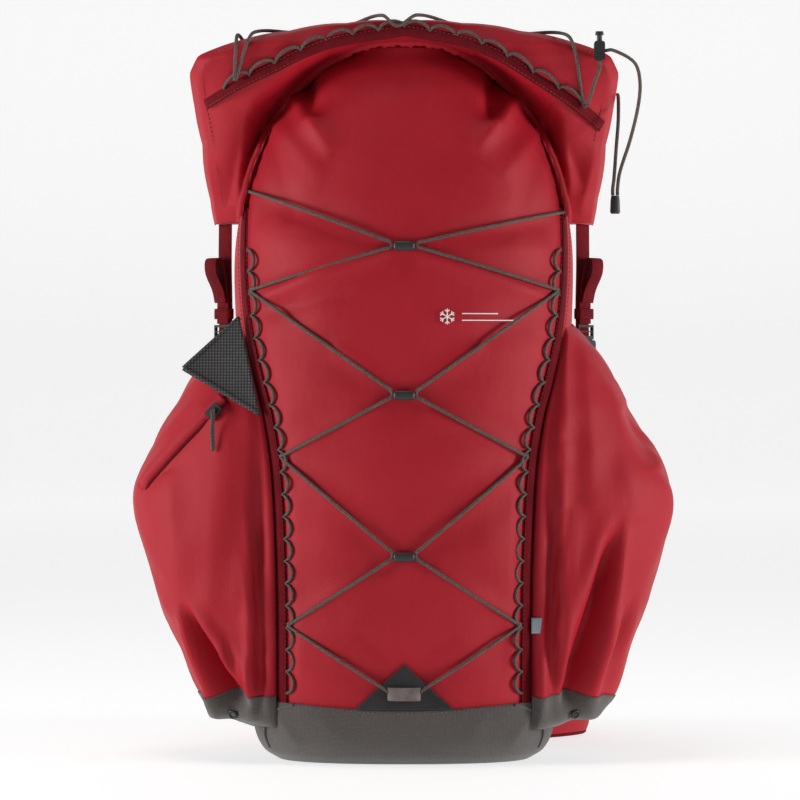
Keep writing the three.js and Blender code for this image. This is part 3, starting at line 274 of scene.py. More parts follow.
class Paint:
    """A material, with the procedural nodes that colour it and raise its surface."""

    def __init__(self, name, roughness, metallic=0.0, specular=0.5, sheen=0.0, sheen_roughness=0.5):
        self.material = bpy.data.materials.new(name)
        self.material.use_nodes = True
        self.tree = self.material.node_tree
        self.shader = self.tree.nodes["Principled BSDF"]
        self.feed(self.shader, {"Roughness": roughness, "Metallic": metallic, "Specular IOR Level": specular})
        self.feed(self.shader, {"Sheen Weight": sheen, "Sheen Roughness": sheen_roughness})

    def feed(self, node, values):
        """Set inputs of a node, each to a plain value or to the output of another node."""
        for socket, value in values.items():
            if isinstance(value, bpy.types.NodeSocket):
                self.tree.links.new(value, node.inputs[socket])
            else:
                node.inputs[socket].default_value = value

    def add(self, kind, values):
        made = self.tree.nodes.new("ShaderNode" + kind)
        self.feed(made, values)
        return made

    def place(self):
        return self.add("TexCoord", {}).outputs["Object"]

    def noise(self, scale, detail=2.0, stretch=(1, 1, 1), rough=0.5):
        place = self.add("Mapping", {"Vector": self.place(), "Scale": stretch}).outputs["Vector"]
        values = {"Vector": place, "Scale": scale, "Detail": detail, "Roughness": rough}
        return self.add("TexNoise", values).outputs["Fac"]

    def threads(self, direction, pitch, waver=0.6):
        """Parallel threads, pitch metres apart."""
        scale = 2 * math.pi / (20 * pitch)
        made = self.add("TexWave", {"Vector": self.place(), "Scale": scale, "Distortion": waver, "Detail": 1})
        made.bands_direction = direction
        return made.outputs["Fac"]

    def blend(self, kind, a, b):
        made = self.add("Math", {0: a, 1: b})
        made.operation = kind
        return made.outputs[0]

    def weave(self, pitch, grain):
        """Crossed threads with a grain laid over them."""
        crossed = self.blend("MAXIMUM", self.threads("X", pitch), self.threads("Z", pitch))
        return self.blend("ADD", crossed, grain)

    def colour(self, factor, stops):
        """Colour the surface by a factor, through stops [(place, colour), ...]."""
        made = self.add("ValToRGB", {"Fac": factor})
        elements = made.color_ramp.elements
        while len(elements) < len(stops):
            elements.new(0.5)
        for element, (at, color) in zip(elements, stops):
            element.position = at
            element.color = color
        self.feed(self.shader, {"Base Color": made.outputs["Color"]})

    def bump(self, height, distance, before=None):
        values = {"Height": height, "Distance": distance, "Strength": 1.0}
        if before is not None:
            values["Normal"] = before
        made = self.add("Bump", values)
        self.feed(self.shader, {"Normal": made.outputs["Normal"]})
        return made.outputs["Normal"]


def woven(name, dark, light, roughness, pitch, depth, sheen=0.0, specular=0.4, patch=18.0, wrinkle=0.0):
    """Cloth of two shades: broad soft patches of colour, crossed threads, and a fine grain."""
    paint = Paint(name, roughness, 0, specular, sheen)
    broad = paint.noise(patch, 3)
    grain = paint.noise(1 / (3 * pitch), 2)
    both_tones = paint.blend("ADD", paint.blend("MULTIPLY", broad, 0.7), paint.blend("MULTIPLY", grain, 0.3))
    paint.colour(both_tones, [(0.3, dark), (0.7, light)])
    threads = paint.bump(paint.weave(pitch, grain), depth)
    if wrinkle:
        paint.bump(paint.noise(42, 4, (1, 1, 0.6), 0.55), wrinkle, threads)
    return paint.material


def moulded(name, color, roughness, grain=0.00006):
    """Plastic of one shade, with paler patches and a fine grain."""
    paint = Paint(name, roughness, 0, 0.45)
    light = tuple(min(1, v * 1.35 + 0.004) for v in color[:3]) + (1,)
    paint.colour(paint.noise(60, 2), [(0.35, color), (0.75, light)])
    paint.bump(paint.noise(2600, 2), grain)
    return paint.material


def dotted_mesh(name, pitch=0.0025):
    """Black mesh with a small pale dot woven in at every crossing."""
    paint = Paint(name, 0.8, 0, 0.3)
    raised = paint.blend("MULTIPLY", paint.threads("X", pitch, 0), paint.threads("Z", pitch, 0))
    dot = paint.blend("MULTIPLY", raised, paint.blend("ADD", paint.noise(300, 2), 0.5))
    paint.colour(dot, [(0.0, srgb(38, 37, 38)), (0.9, srgb(98, 96, 96))])
    paint.bump(raised, 0.0003)
    return paint.material


def heather(name):
    """Grey melange cloth: short fibres of several greys."""
    paint = Paint(name, 0.92, 0, 0.25, 0.25, 0.6)
    across = paint.noise(1500, 3, (1, 1, 0.3), 0.6)
    along = paint.noise(1500, 3, (0.3, 1, 1), 0.6)
    fibre = paint.blend("MULTIPLY", paint.blend("ADD", across, along), 0.5)
    paint.colour(fibre, [(0.38, srgb(60, 55, 52)), (0.5, srgb(69, 63, 60)), (0.62, srgb(80, 73, 70))])
    paint.bump(paint.weave(0.0011, fibre), 0.00022)
    return paint.material


def brushed(name, dark, light, roughness, metallic):
    """A hard surface of two near shades, streaked along its length."""
    paint = Paint(name, roughness, metallic)
    streaks = paint.noise(500, 3, (1, 1, 0.05))
    paint.colour(streaks, [(0.35, dark), (0.65, light)])
    paint.bump(streaks, 0.00004)
    return paint.material


def braided(name, dark, light):
    """Round elastic cord with flecks of two shades."""
    paint = Paint(name, 0.75, 0, 0.3)
    paint.colour(paint.noise(1100, 2), [(0.4, dark), (0.6, light)])
    paint.bump(paint.noise(1500, 1), 0.0003)
    return paint.material


MATERIALS = {
    "shell": woven(
        "shell_fabric", srgb(150, 17, 31), srgb(163, 22, 37), 0.55, 0.0006, 0.00006, 0.0, 0.2, 9, 0.0009
    ),
    "trim": woven("trim_tape", srgb(86, 6, 15), srgb(108, 10, 22), 0.8, 0.0011, 0.0003, 0.0, 0.12, 60),
    "padding": woven("pad_mesh", srgb(26, 26, 28), srgb(44, 44, 46), 0.9, 0.0022, 0.0006, 0.2, 0.2, 40),
    "patch": woven("patch_fabric", srgb(30, 28, 29), srgb(46, 43, 44), 0.85, 0.0009, 0.0002, 0.1, 0.25, 50),
    "mesh": dotted_mesh("wing_mesh"),
    "base_fabric": heather("base_heather"),
    "cord": braided("elastic_cord", srgb(62, 52, 48), srgb(100, 86, 80)),
    "loop": woven("loop_webbing", srgb(88, 78, 76), srgb(124, 112, 110), 0.8, 0.0009, 0.0003, 0.1, 0.3, 80),
    "plastic": moulded("black_plastic", srgb(28, 29, 28), 0.42),
    "alloy": brushed("bare_alloy", srgb(150, 152, 155), srgb(190, 192, 194), 0.35, 1.0),
    "frame_plastic": moulded("pale_plastic", srgb(205, 204, 198), 0.5),
    "label": woven("label_cloth", srgb(108, 122, 132), srgb(150, 162, 168), 0.8, 0.0005, 0.0001),
    "print": woven(
        "white_print", srgb(216, 208, 208), srgb(234, 228, 228), 0.6, 0.0006, 0.00006, 0.0, 0.2, 200
    ),
    "thread": woven("sewing_thread", srgb(120, 20, 34), srgb(150, 34, 48), 0.7, 0.0004, 0.0001),
}


# ---- Making meshes --------------------------------------------------------------------------------------
def make(name, verts, faces, material, smooth_faces=True):
    mesh = bpy.data.meshes.new(name)
    mesh.from_pydata([tuple(float(c) * MM for c in v) for v in verts], [], faces)
    mesh.materials.append(MATERIALS[material])
    mesh.validate()
    made = bpy.data.objects.new(name, mesh)
    bpy.context.collection.objects.link(made)
    tidy = bmesh.new()
    tidy.from_mesh(mesh)
    bmesh.ops.recalc_face_normals(tidy, faces=tidy.faces)
    tidy.to_mesh(mesh)
    tidy.free()
    mesh.polygons.foreach_set("use_smooth", [smooth_faces] * len(mesh.polygons))
    return made


def attach(piece, body, slot, *replaced):
    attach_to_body(piece, body)
    if replaced:
        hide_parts(*replaced)
    return piece


def grid_faces(rows, columns, wrap):
    faces = []
    last = columns if wrap else columns - 1
    for i in range(rows - 1):
        for j in range(last):
            k = (j + 1) % columns
            faces.append((i * columns + j, i * columns + k, (i + 1) * columns + k, (i + 1) * columns + j))
    return faces


def grid_normals(points, wrap):
    """Unit normals of a grid of points, from the rows and columns beside each."""
    across = np.gradient(points, axis=1)
    if wrap:
        across = (np.roll(points, -1, axis=1) - np.roll(points, 1, axis=1)) / 2
    along = np.gradient(points, axis=0)
    normal = np.cross(across, along)
    length = np.linalg.norm(normal, axis=2, keepdims=True)
    return normal / np.maximum(length, 1e-9)


def closed_between(name, top, bottom, material, wrap=False):
    """A solid between two grids of points with the same rows and columns."""
    rows, columns = top.shape[:2]
    upper = grid_faces(rows, columns, wrap)
    shift = rows * columns
    faces = upper + [tuple(shift + v for v in reversed(face)) for face in upper]
    last = columns if wrap else columns - 1
    edge = [(i * columns + j, i * columns + (j + 1) % columns) for i in (0, rows - 1) for j in range(last)]
    if not wrap:
        edge += [(i * columns + j, (i + 1) * columns + j) for j in (0, columns - 1) for i in range(rows - 1)]
    faces += [(a, b, b + shift, a + shift) for a, b in edge]
    return make(name, np.concatenate([top.reshape(-1, 3), bottom.reshape(-1, 3)]), faces, material)


def closed_sheet(name, points, thickness, material, wrap=False):
    """A grid of points as cloth of one thickness, laid inwards, with all its edges closed."""
    return closed_between(name, points, points - grid_normals(points, wrap) * thickness, material, wrap)


def swept(name, rows, material, closed=False):
    """A solid from rings of points one after another: capped at its ends, or closed into a loop."""
    rows = np.array(rows)
    count, sides = rows.shape[:2]
    faces = grid_faces(count, sides, True)
    end = (count - 1) * sides
    if closed:
        faces += [(end + k, end + (k + 1) % sides, (k + 1) % sides, k) for k in range(sides)]
    else:
        faces += [tuple(range(sides)), tuple(end + k for k in range(sides))]
    return make(name, rows.reshape(-1, 3), faces, material)


def directions(path):
    """The unit tangent at each point of a path."""
    tangents = np.gradient(path, axis=0)
    return tangents / np.linalg.norm(tangents, axis=1, keepdims=True)


def square_to(tangent, vector):
    """The part of a vector that is square to a tangent, made a unit long."""
    vector = vector - tangent * vector.dot(tangent)
    return vector / np.linalg.norm(vector)


def tube(name, path, radius, material, sides=8, closed=False):
    """A round cord along points."""
    path = np.array(path, float)
    if closed:
        tangents = np.roll(path, -1, axis=0) - np.roll(path, 1, axis=0)
        tangents /= np.linalg.norm(tangents, axis=1, keepdims=True)
    else:
        tangents = directions(path)
    side = np.cross(tangents[0], [0.3, 0.2, 0.9])
    turns = [2 * math.pi * k / sides for k in range(sides)]
    rows = []
    for point, tangent in zip(path, tangents):
        side = square_to(tangent, side)
        up = np.cross(tangent, side)
        rows.append([point + radius * (math.cos(turn) * side + math.sin(turn) * up) for turn in turns])
    return swept(name, rows, material, closed)


def curve_through(points, count):
    """Points spread along a smooth curve through some points."""
    points = np.array(points, float)
    steps = np.concatenate([[0], np.cumsum(np.linalg.norm(np.diff(points, axis=0), axis=1) ** 0.5)])
    at = np.linspace(0, steps[-1], count)
    return np.stack([smooth(list(zip(steps, points[:, k])), at) for k in range(3)], axis=1)


def ribbon(name, path, facing, width, thick, material):
    """Flat webbing along a path with its broad face turned to facing, and its edges rounded."""
    path = np.array(path, float)
    facing = np.broadcast_to(np.asarray(facing, float), path.shape)
    section = [(-0.5, -0.25), (-0.47, -0.5), (0, -0.56), (0.47, -0.5), (0.5, -0.25)]
    section += [(-x, -y) for x, y in section]
    rows = []
    for point, tangent, out in zip(path, directions(path), facing):
        out = square_to(tangent, out)
        across = np.cross(tangent, out)
        rows.append([point + across * x * width + out * y * thick for x, y in section])
    return swept(name, rows, material)


def stitches(name, path, facing, length, gap, material="thread", size=0.45):
    """A row of sewn stitches: small rounded bars along a path, half sunk in the cloth."""
    path = np.array(path, float)
    facing = np.broadcast_to(np.asarray(facing, float), path.shape)
    far = np.concatenate([[0], np.cumsum(np.linalg.norm(np.diff(path, axis=0), axis=1))])
    verts, faces = [], []
    starts = np.arange(gap, far[-1] - length, length + gap)
    for start in starts:
        ends = []
        for at in (start, start + length * 0.5, start + length):
            ends.append([np.interp(at, far, path[:, k]) for k in range(3)])
        out = np.array([np.interp(start, far, facing[:, k]) for k in range(3)])
        ends = np.array(ends)
        along = ends[2] - ends[0]
        across = np.cross(along, out)
        across = across / np.linalg.norm(across) * size
        up = out / np.linalg.norm(out) * size
        first = len(verts)
        for point, grow in zip(ends, (0.45, 1.0, 0.45)):
            verts += [point + across * grow, point + up * grow, point - across * grow, point - up * grow]
        for row in (0, 4):
            for k in range(4):
                a, b = first + row + k, first + row + (k + 1) % 4
                faces.append((a, b, b + 4, a + 4))
        faces += [tuple(first + k for k in range(4)), tuple(first + 8 + k for k in range(4))]
    return make(name, verts, faces, material, False)


# ---- Camera, light and floor ----------------------------------------------------------------------------
def build_stage():
    data = bpy.data.cameras.new("camera")
    data.lens = 36 * 3.2 / 0.672
    data.sensor_width = 36
    data.clip_end = 50
    camera = bpy.data.objects.new("camera", data)
    bpy.context.collection.objects.link(camera)
    aim = Vector((-0.0034, -0.04, 0.304))
    camera.location = (-0.0034, -3.24, 0.33)
    camera.rotation_euler = (aim - camera.location).to_track_quat("-Z", "Y").to_euler()
    bpy.context.scene.camera = camera
    bpy.context.scene.view_settings.view_transform = "Standard"

    world = bpy.data.worlds.new("studio")
    world.use_nodes = True
    background = world.node_tree.nodes["Background"]
    background.inputs["Color"].default_value = (1, 1, 1, 1)
    background.inputs["Strength"].default_value = 0.18
    bpy.context.scene.world = world
    build_backdrop()
    build_lamps()


def build_backdrop():
    """One pale sheet that is the floor and curves up behind the pack. It glows, so it stays even."""
    bends = [(0, -9000, 0), (0, 0, 0), (0, 5000, 0), (0, 6500, 160), (0, 7200, 1200), (0, 7300, 9000)]
    profile = curve_through(bends, 60)
    rows = [[(x, y, max(z, 0)) for x in (-9000, -3000, 3000, 9000)] for _, y, z in profile]
    sweep = make("backdrop", np.array(rows).reshape(-1, 3), grid_faces(60, 4, False), "print")
    paper = Paint("backdrop_paper", 1.0, 0, 0.0)
    glow = {"Emission Color": (1, 1, 1, 1), "Emission Strength": 0.67}
    paper.feed(paper.shader, {"Base Color": (0.5, 0.5, 0.5, 1), **glow})
    sweep.data.materials[0] = paper.material


def build_lamps():
    for name, place, size, watts in (
        ("left_light", (-2.6, -0.72, 0.42), 0.8, 55),
        ("right_light", (2.6, -0.72, 0.4), 0.8, 53),
        ("top_light", (-0.3, -0.4, 2.5), 0.7, 13),
    ):
        lamp = bpy.data.lights.new(name, "AREA")
        lamp.energy = watts
        lamp.size = size
        made = bpy.data.objects.new(name, lamp)
        bpy.context.collection.objects.link(made)
        made.location = place
        made.rotation_euler = (Vector((0, 0, 0.35)) - Vector(place)).to_track_quat("-Z", "Y").to_euler()


# ---- The bag --------------------------------------------------------------------------------------------
SLEEVES = (0.728, 0.521, 0.297)
HOOKS = (0.669, 0.436, 0.2)
LACE_END = BASE_HIGH + 8
SIDES = (("left", -1), ("right", 1))


def lace_corners(side):
    """Where the front lacing turns on one side, from the top down: (x, z)."""
    top = 481 if side < 0 else 462
    corners = [(side * (panel_half(top) + 2), top)]
    for sleeve, hook in zip(SLEEVES, HOOKS):
        corners.append((side * 8, sleeve * BAG["height"]))
        z = hook * BAG["height"]
        corners.append((side * (panel_half(z) - 7), z))
    corners.append((side * 13, LACE_END))
    return corners


def from_laces(x, z):
    """The distance from each place to the nearest lace."""
    nearest = np.full(np.shape(x), 999.0)
    for _, side in SIDES:
        corners = lace_corners(side)
        for (ax, az), (bx, bz) in zip(corners, corners[1:]):
            dx, dz = bx - ax, bz - az
            t = np.clip(((x - ax) * dx + (z - az) * dz) / (dx * dx + dz * dz), 0, 1)
            nearest = np.minimum(nearest, np.hypot(x - ax - t * dx, z - az - t * dz))
    return nearest


# Creases of the front: start, end, half width, height.
FRONT_FOLDS = [
    ((-100, 572), (-58, 508), 9, 3.6),
    ((-118, 548), (-66, 486), 12, 1.6),
    ((-84, 588), (-76, 536), 7, -3.6),
    ((-112, 530), (-92, 450), 9, -1.1),
    ((104, 570), (56, 508), 9, 3.6),
    ((78, 588), (70, 534), 7, -3.6),
    ((122, 540), (78, 486), 12, 1.6),
    ((112, 528), (96, 450), 9, -1.1),
    ((-122, 388), (-10, 428), 7, 2.6),
    ((-122, 376), (-40, 392), 8, -1.4),
    ((-120, 470), (-20, 440), 12, -1.2),
    ((124, 388), (10, 426), 7, 2.2),
    ((124, 452), (24, 436), 10, -1.2),
    ((-100, 262), (-16, 300), 8, 1.9),
    ((96, 262), (14, 298), 8, 1.8),
    ((-100, 252), (-30, 200), 9, 1.2),
    ((96, 252), (30, 196), 9, 1.2),
    ((-60, 350), (-12, 316), 8, 1.6),
    ((66, 352), (12, 316), 8, 1.4),
    ((-92, 122), (-22, 166), 8, 1.7),
    ((92, 122), (22, 166), 8, 1.5),
    ((-100, 236), (-94, 70), 8, 2.2),
    ((100, 236), (94, 70), 8, 2.2),
    ((-40, 112), (-8, 88), 7, -1.2),
    ((44, 108), (12, 90), 7, -1.2),
]


def build_bag():
    heights = [np.linspace(2.6, 40, 14), np.linspace(44, 560, 150), np.linspace(563, 598.5, 20)]
    turns = np.linspace(0, 2 * math.pi, 220, endpoint=False)
    z, turn = np.meshgrid(np.concatenate(heights), turns, indexing="ij")
    half, front, back = bag_section(z)
    x, y = rim(half, front, back, turn, 2.4, 5)
    points = np.stack([x, y, z], axis=2)
    facing = ease(0, 45, -y) * ease(52, 80, z)
    puff = 2.6 * (1 - np.exp(-((from_laces(x, z) / 22) ** 2))) - 1.2
    soft = 1.5 * ripple(x, z, 0.4, 140) + 0.8 * ripple(x, z, 1.9, 62)
    creases = FRONT_CREASING * sum(fold(x, z, *crease) for crease in FRONT_FOLDS)
    inside = ease(0, 14, panel_half(z) - 4 - np.abs(x))
    rear = 0.6 * ripple(x + y, z, 2.7, 120) * ease(52, 80, z)
    move = facing * inside * (puff + soft + creases) + (1 - facing) * rear
    move *= 1 - ease(575, 592, z)
    points = points + grid_normals(points, True) * move[..., None]
    attach(closed_sheet("bag_shell", points, BAG_CLOTH, "shell", wrap=True), "bag", "shell", "main_bag")
    attach(rim_disc("bag_floor", 3.2, 1.5, -1.6), "bag", "shell")


def rim_disc(name, z, thickness, offset):
    """The flat floor of the bag or of its base."""
    turns = np.linspace(0, 2 * math.pi, 120, endpoint=False)
    half, front, back = bag_section(np.array(z * 1.0), offset)
    x, y = rim(half, front, back, turns, 2.4, 5)
    rows = []
    for share in (0.02, 0.5, 1.0):
        rows.append(np.stack([x * share, y * share, np.full_like(x, z)], axis=1))
    return closed_sheet(name, np.array(rows), thickness, "shell", wrap=True)


# Creases of the base, the same on both sides: start, end, half width, height.
BASE_FOLDS = [
    ((112, 50), (88, 14), 5, 2.4),
    ((124, 42), (104, 8), 5, -2.6),
    ((70, 44), (50, 20), 8, 1.2),
    ((30, 12), (90, 8), 6, -1.2),
]


def build_base():
    """The grey cup under the bag, with its top edge lower in the middle of the front."""
    turns = np.linspace(0, 2 * math.pi, 220, endpoint=False)
    dip = 6.0 * np.exp(-((np.mod(turns, 2 * math.pi) - 1.5 * math.pi) ** 2) / 0.35)
    top = 53 - dip
    shares = np.linspace(0, 1, 22)
    rows = []
    half, front, back = bag_section(np.array(0.0), BASE_WALL)
    x0, y0 = rim(half, front, back, turns, 2.4, 5)
    for share in (0.02, 0.55, 0.97):
        rows.append(np.stack([x0 * share, y0 * share, np.full_like(x0, 0.2)], axis=1))
    for share in shares:
        z = 0.4 + share * (top - 0.4)
        half, front, back = bag_section(z, BASE_WALL)
        x, y = rim(half, front, back, turns, 2.4, 5)
        swell = 1.0 * ripple(x, z + y, 0.8, 70) * math.sin(math.pi * share)
        tuck = sum(fold(np.abs(x), z, *crease) for crease in BASE_FOLDS) * (y < -20)
        rows.append(np.stack([x, y * (1 + (swell + tuck) / 90), z], axis=1))
    cup = closed_sheet("base_cup_cloth", np.array(rows), 2.2, "base_fabric", wrap=True)
    attach(cup, "bag", "base_fabric", "base_cup")


def base_point(x, z, out):
    """A point on the front of the base cup."""
    half, front, _ = bag_section(np.array(float(z)), BASE_WALL)
    y = -front * (1 - min(abs(x) / half, 0.999) ** 2.4) ** (1 / 2.4)
    return np.array([x, y - out, z])


def build_base_seams():
    """Sewn lines on the base: under its top edge, and slanting down to both lower corners."""
    for name, side in SIDES:
        route = [(92, 51), (106, 46), (115, 36), (117, 24), (113, 12)]
        line = [base_point(side * x, z, 0.9) for x, z in route]
        attach(tube(name + "_base_seam", curve_through(line, 40), 1.1, "base_fabric"), "bag", "base_fabric")
    xs = np.linspace(-96, 96, 90)
    edge = [base_point(x, 53 - 6 * math.exp(-((x / 62) ** 2)) - 2.2, 0.5) for x in xs]
    attach(stitches("base_edge_stitch", edge, (0, -1, 0), 2.2, 1.4, "loop", 0.35), "bag", "base_fabric")


def build_eyelets():
    """Rings round the drain holes under the pockets."""
    for name, side in SIDES:
        centre = np.array([side * 143.0, 0, 41])
        centre[1] = float(pocket_front(143.0, 41.0))
        out = np.array([side * 0.35, -0.8, -0.45])
        out /= np.linalg.norm(out)
        across = np.cross(out, (0, 0, 1))
        across /= np.linalg.norm(across)
        up = np.cross(across, out)
        turns = np.linspace(0, 2 * math.pi, 25)[:-1]
        ring = [centre + out * 1.8 + (across * math.cos(t) + up * math.sin(t)) * 3.2 for t in turns]
        attach(tube(name + "_eyelet", ring, 1.1, "plastic", 8, True), "bag", "base_fabric")


def build_print():
    """A generic white mark on the front: a snowflake and two thin lines beside it."""
    centre = (35, 373)

    def tip(foot, turn, length):
        return foot[0] + length * math.cos(turn), foot[1] + length * math.sin(turn)

    arms = []
    for k in range(6):
        turn = math.radians(60 * k + 30)
        knot = tip(centre, turn, 4)
        arms.append((centre, tip(centre, turn, 6.5)))
        arms += [(knot, tip(knot, turn + bend, 2.4)) for bend in (-0.9, 0.9)]
    arms += [((47, 370), (93, 370)), ((47, 375.5), (76, 375.5))]
    for number, ((ax, az), (bx, bz)) in enumerate(arms):
        route = [on_bag(lerp(ax, bx, t), lerp(az, bz, t), 2.6) for t in np.linspace(0, 1, 12)]
        attach(ribbon(f"print_{number}", route, (0, -1, 0), 0.9, 0.5, "print"), "bag", "shell")


# ---- Side pockets ---------------------------------------------------------------------------------------
POCKET_FOLDS = {
    -1: [
        ((150, 300), (164, 130), 16, 2.2),
        ((122, 300), (118, 90), 7, -2.6),
        ((196, 246), (186, 120), 12, 1.8),
        ((128, 250), (140, 130), 9, 1.4),
        ((176, 330), (214, 268), 9, 2.0),
        ((130, 180), (128, 70), 9, 1.6),
    ],
    1: [
        ((134, 372), (131, 250), 7, 2.6),
        ((135, 270), (132, 212), 6, 2.2),
        ((150, 350), (158, 210), 13, 2.4),
        ((140, 220), (136, 90), 8, 2.8),
        ((172, 320), (196, 200), 12, 1.8),
        ((160, 190), (156, 90), 10, 1.8),
        ((186, 300), (214, 252), 7, -2.6),
        ((200, 296), (218, 244), 6, 2.4),
    ],
}
# Deep pleats of the pockets, where the cloth is gathered into the base: start, end, half width, depth.
POCKET_PLEATS = {
    -1: [((188, 140), (141, 48), 8, 20), ((150, 112), (132, 50), 6, 5), ((123, 280), (120, 56), 5, 7)],
    1: [((122, 310), (123, 54), 6, 9), ((182, 216), (137, 48), 11, 19), ((198, 150), (160, 52), 7, 6)],
}


def pocket_range(z):
    """The turns at which the pocket's section starts at the tape and ends at the bag's side."""
    middle, half, front, back = pocket_section(z)
    start = (panel_half(z) + TAPE / 2 + 0.9 - middle) / half
    first = -math.acos(np.sign(start) * min(abs(start), 1) ** 1.1)
    turns = np.linspace(0, math.pi * 0.6, 400)
    x, y = rim(half, front, back, turns, 2.2, 2.6, middle)
    bag_half, _, bag_back = bag_section(z)
    inside = (np.abs(x) / bag_half) ** 5 + (np.maximum(y, 0) / bag_back) ** 5 < 0.99
    last = turns[np.argmax(inside)] if inside.any() else math.pi / 2
    return first, last


def pocket_points(side, heights, columns):
    rows = []
    for z in heights:
        first, last = pocket_range(z)
        turns = np.linspace(first, max(last, first + 0.02), columns)
        middle, half, front, back = pocket_section(z)
        x, y = rim(half, front, back, turns, 2.2, 2.6, middle)
        rows.append(np.stack([side * x, y, np.full_like(x, z)], axis=1))
    points = np.array(rows)
    return points if side > 0 else points[:, ::-1]


def pocket_move(side, points):
    x, y, z = side * points[..., 0], points[..., 1], points[..., 2]
    creases = POCKET_CREASING * sum(fold(x, z, *crease) for crease in POCKET_FOLDS[side])
    creases = creases + sum(pleat(x, z, *crease) for crease in POCKET_PLEATS[side])
    creases = creases * (1 - ease(-10, 15, y))
    soft = 2.0 * ripple(1.6 * (y - x), 0.7 * z, 3.1 + side, 120)
    soft = soft + 1.0 * ripple(1.8 * (y - x), 0.6 * z, 5.2 - side, 52)
    edge = np.minimum(np.arange(points.shape[1]), np.arange(points.shape[1])[::-1])
    return (creases + soft) * ease(0, 3, edge)[None, :]


def build_pocket(name, side):
    heights = np.linspace(56.5, 369, 110)
    points = pocket_points(side, heights, 84)
    normals = grid_normals(points, False)
    outward = np.sign(np.sum(normals[..., 0] * side)) or 1
    points = points + normals * outward * pocket_move(side, points)[..., None]
    shell = closed_sheet(name + "_pocket_cloth", points, POCKET_CLOTH * outward, "shell")
    attach(shell, "bag", "shell", name + "_side_pocket")
    lower = pocket_points(side, np.linspace(32, 57.5, 20), 84)
    normals = grid_normals(lower, False)
    lower = lower + normals * outward * (0.9 + pocket_move(side, lower)[..., None])
    bottom = closed_sheet(name + "_pocket_bottom", lower, POCKET_CLOTH * outward, "base_fabric")
    attach(bottom, "bag", "base_fabric", "base_cup")
    bpy.context.view_layer.update()


# ---- Tapes, loops and lacing ----------------------------------------------------------------------------
def surface_path(xs, zs, out):
    return np.array([on_bag(x, z, out) for x, z in zip(xs, zs)])


def surface_facing(xs, zs):
    return surface_path(xs, zs, 1.0) - surface_path(xs, zs, 0.0)


def build_tapes():
    for name, side in SIDES:
        heights = np.linspace(BASE_HIGH - 3, 466, 90)
        middle = side * panel_half(heights)
        facing = surface_facing(middle, heights)
        path = surface_path(middle, heights, 1.6)
        tape = ribbon(name + "_tape_band", path, facing, TAPE, 1.5, "trim")
        attach(tape, "bag", "trim", name + "_tape")
        for shift in (-3.6, 3.6):
            line = surface_path(middle + shift, heights, 2.35)
            edge = "in" if shift * side < 0 else "out"
            attach(stitches(f"{name}_tape_stitch_{edge}", line, facing, STITCH, STITCH_GAP), "bag", "trim")
        build_loops(name, side)


def build_loops(name, side):
    """The cord that comes out from under the tape in one loop after another."""
    low, high, pitch = 60, 446, 18.5
    count = int((high - low) / pitch)
    points = []
    for i in range(count * 10 + 1):
        share = (i / 10) % 1
        z = low + pitch * i / 10
        bulge = math.sin(math.pi * share) ** 0.6
        into = TAPE / 2 - 1.5 + 6.8 * bulge
        x = side * (panel_half(z) - into)
        points.append(on_bag(x, z, 1.2 + 1.6 * bulge))
    attach(tube(name + "_loops", points, LOOP_CORD, "cord"), "bag", "cord", name + "_loop_cord")


def build_lace():
    paths = []
    for _, side in SIDES:
        corners = lace_corners(side)
        points = []
        for i, ((ax, az), (bx, bz)) in enumerate(zip(corners, corners[1:])):
            to_sleeve = i % 2 == 0
            start_shift = -1.9 if i and to_sleeve else 0
            end_shift = 1.9 if to_sleeve else 0
            for t in np.linspace(0.02, 0.98, 16):
                x, z = lerp(ax, bx, t), lerp(az, bz, t)
                z += (1 - t) * start_shift + t * end_shift
                points.append(on_bag(x, z, CORD + 0.9 + math.sin(math.pi * t) * 0.5))
            if not to_sleeve and i + 2 < len(corners):
                points.append(on_bag(bx + side * 1.6, bz, CORD + 0.9))
        paths.append(curve_through(points, 260))
    end = [on_bag(x, LACE_END, CORD + 2.2) for x in np.linspace(12, -12, 9)]
    whole = np.concatenate([paths[1], end, paths[0][::-1]])
    attach(tube("front_lacing", whole, CORD, "cord"), "bag", "cord", "front_lace")
    for name, share in zip(("upper", "middle", "lower"), SLEEVES):
        z = share * BAG["height"]
        build_sleeve(name, z)


def build_sleeve(name, z):
    """A rubber sleeve that holds the crossing cords together: a pillow shape, pinched at both ends."""
    half_long, half_high, half_deep = 8.6, 3.9, 2.6
    turns = np.linspace(0, 2 * math.pi, 24, endpoint=False)
    rows = []
    for at in np.linspace(-half_long, half_long, 15):
        full = 0.65 + 0.35 * (1 - (abs(at) / half_long) ** 4) ** 0.5
        high = half_high * full
        y, up = rim(half_deep * full, high, high, turns, 3, 3)
        base = bag_front(at, z) - 3.2
        rows.append(np.stack([np.full_like(y, at), base + y, z + up], axis=1))
    attach(swept(name + "_sleeve", rows, "plastic"), "bag", "plastic", name + "_lace_sleeve")


def surface_patch(name, rows, out, thickness, material):
    """A thin piece sewn on the front: rows of (x, z) places, laid on the bag."""
    points = np.array([[on_bag(x, z, out) for x, z in row] for row in rows])
    normals = grid_normals(points, False)
    outward = -1 if normals[..., 1].mean() > 0 else 1
    return closed_sheet(name, points, thickness * outward, material)


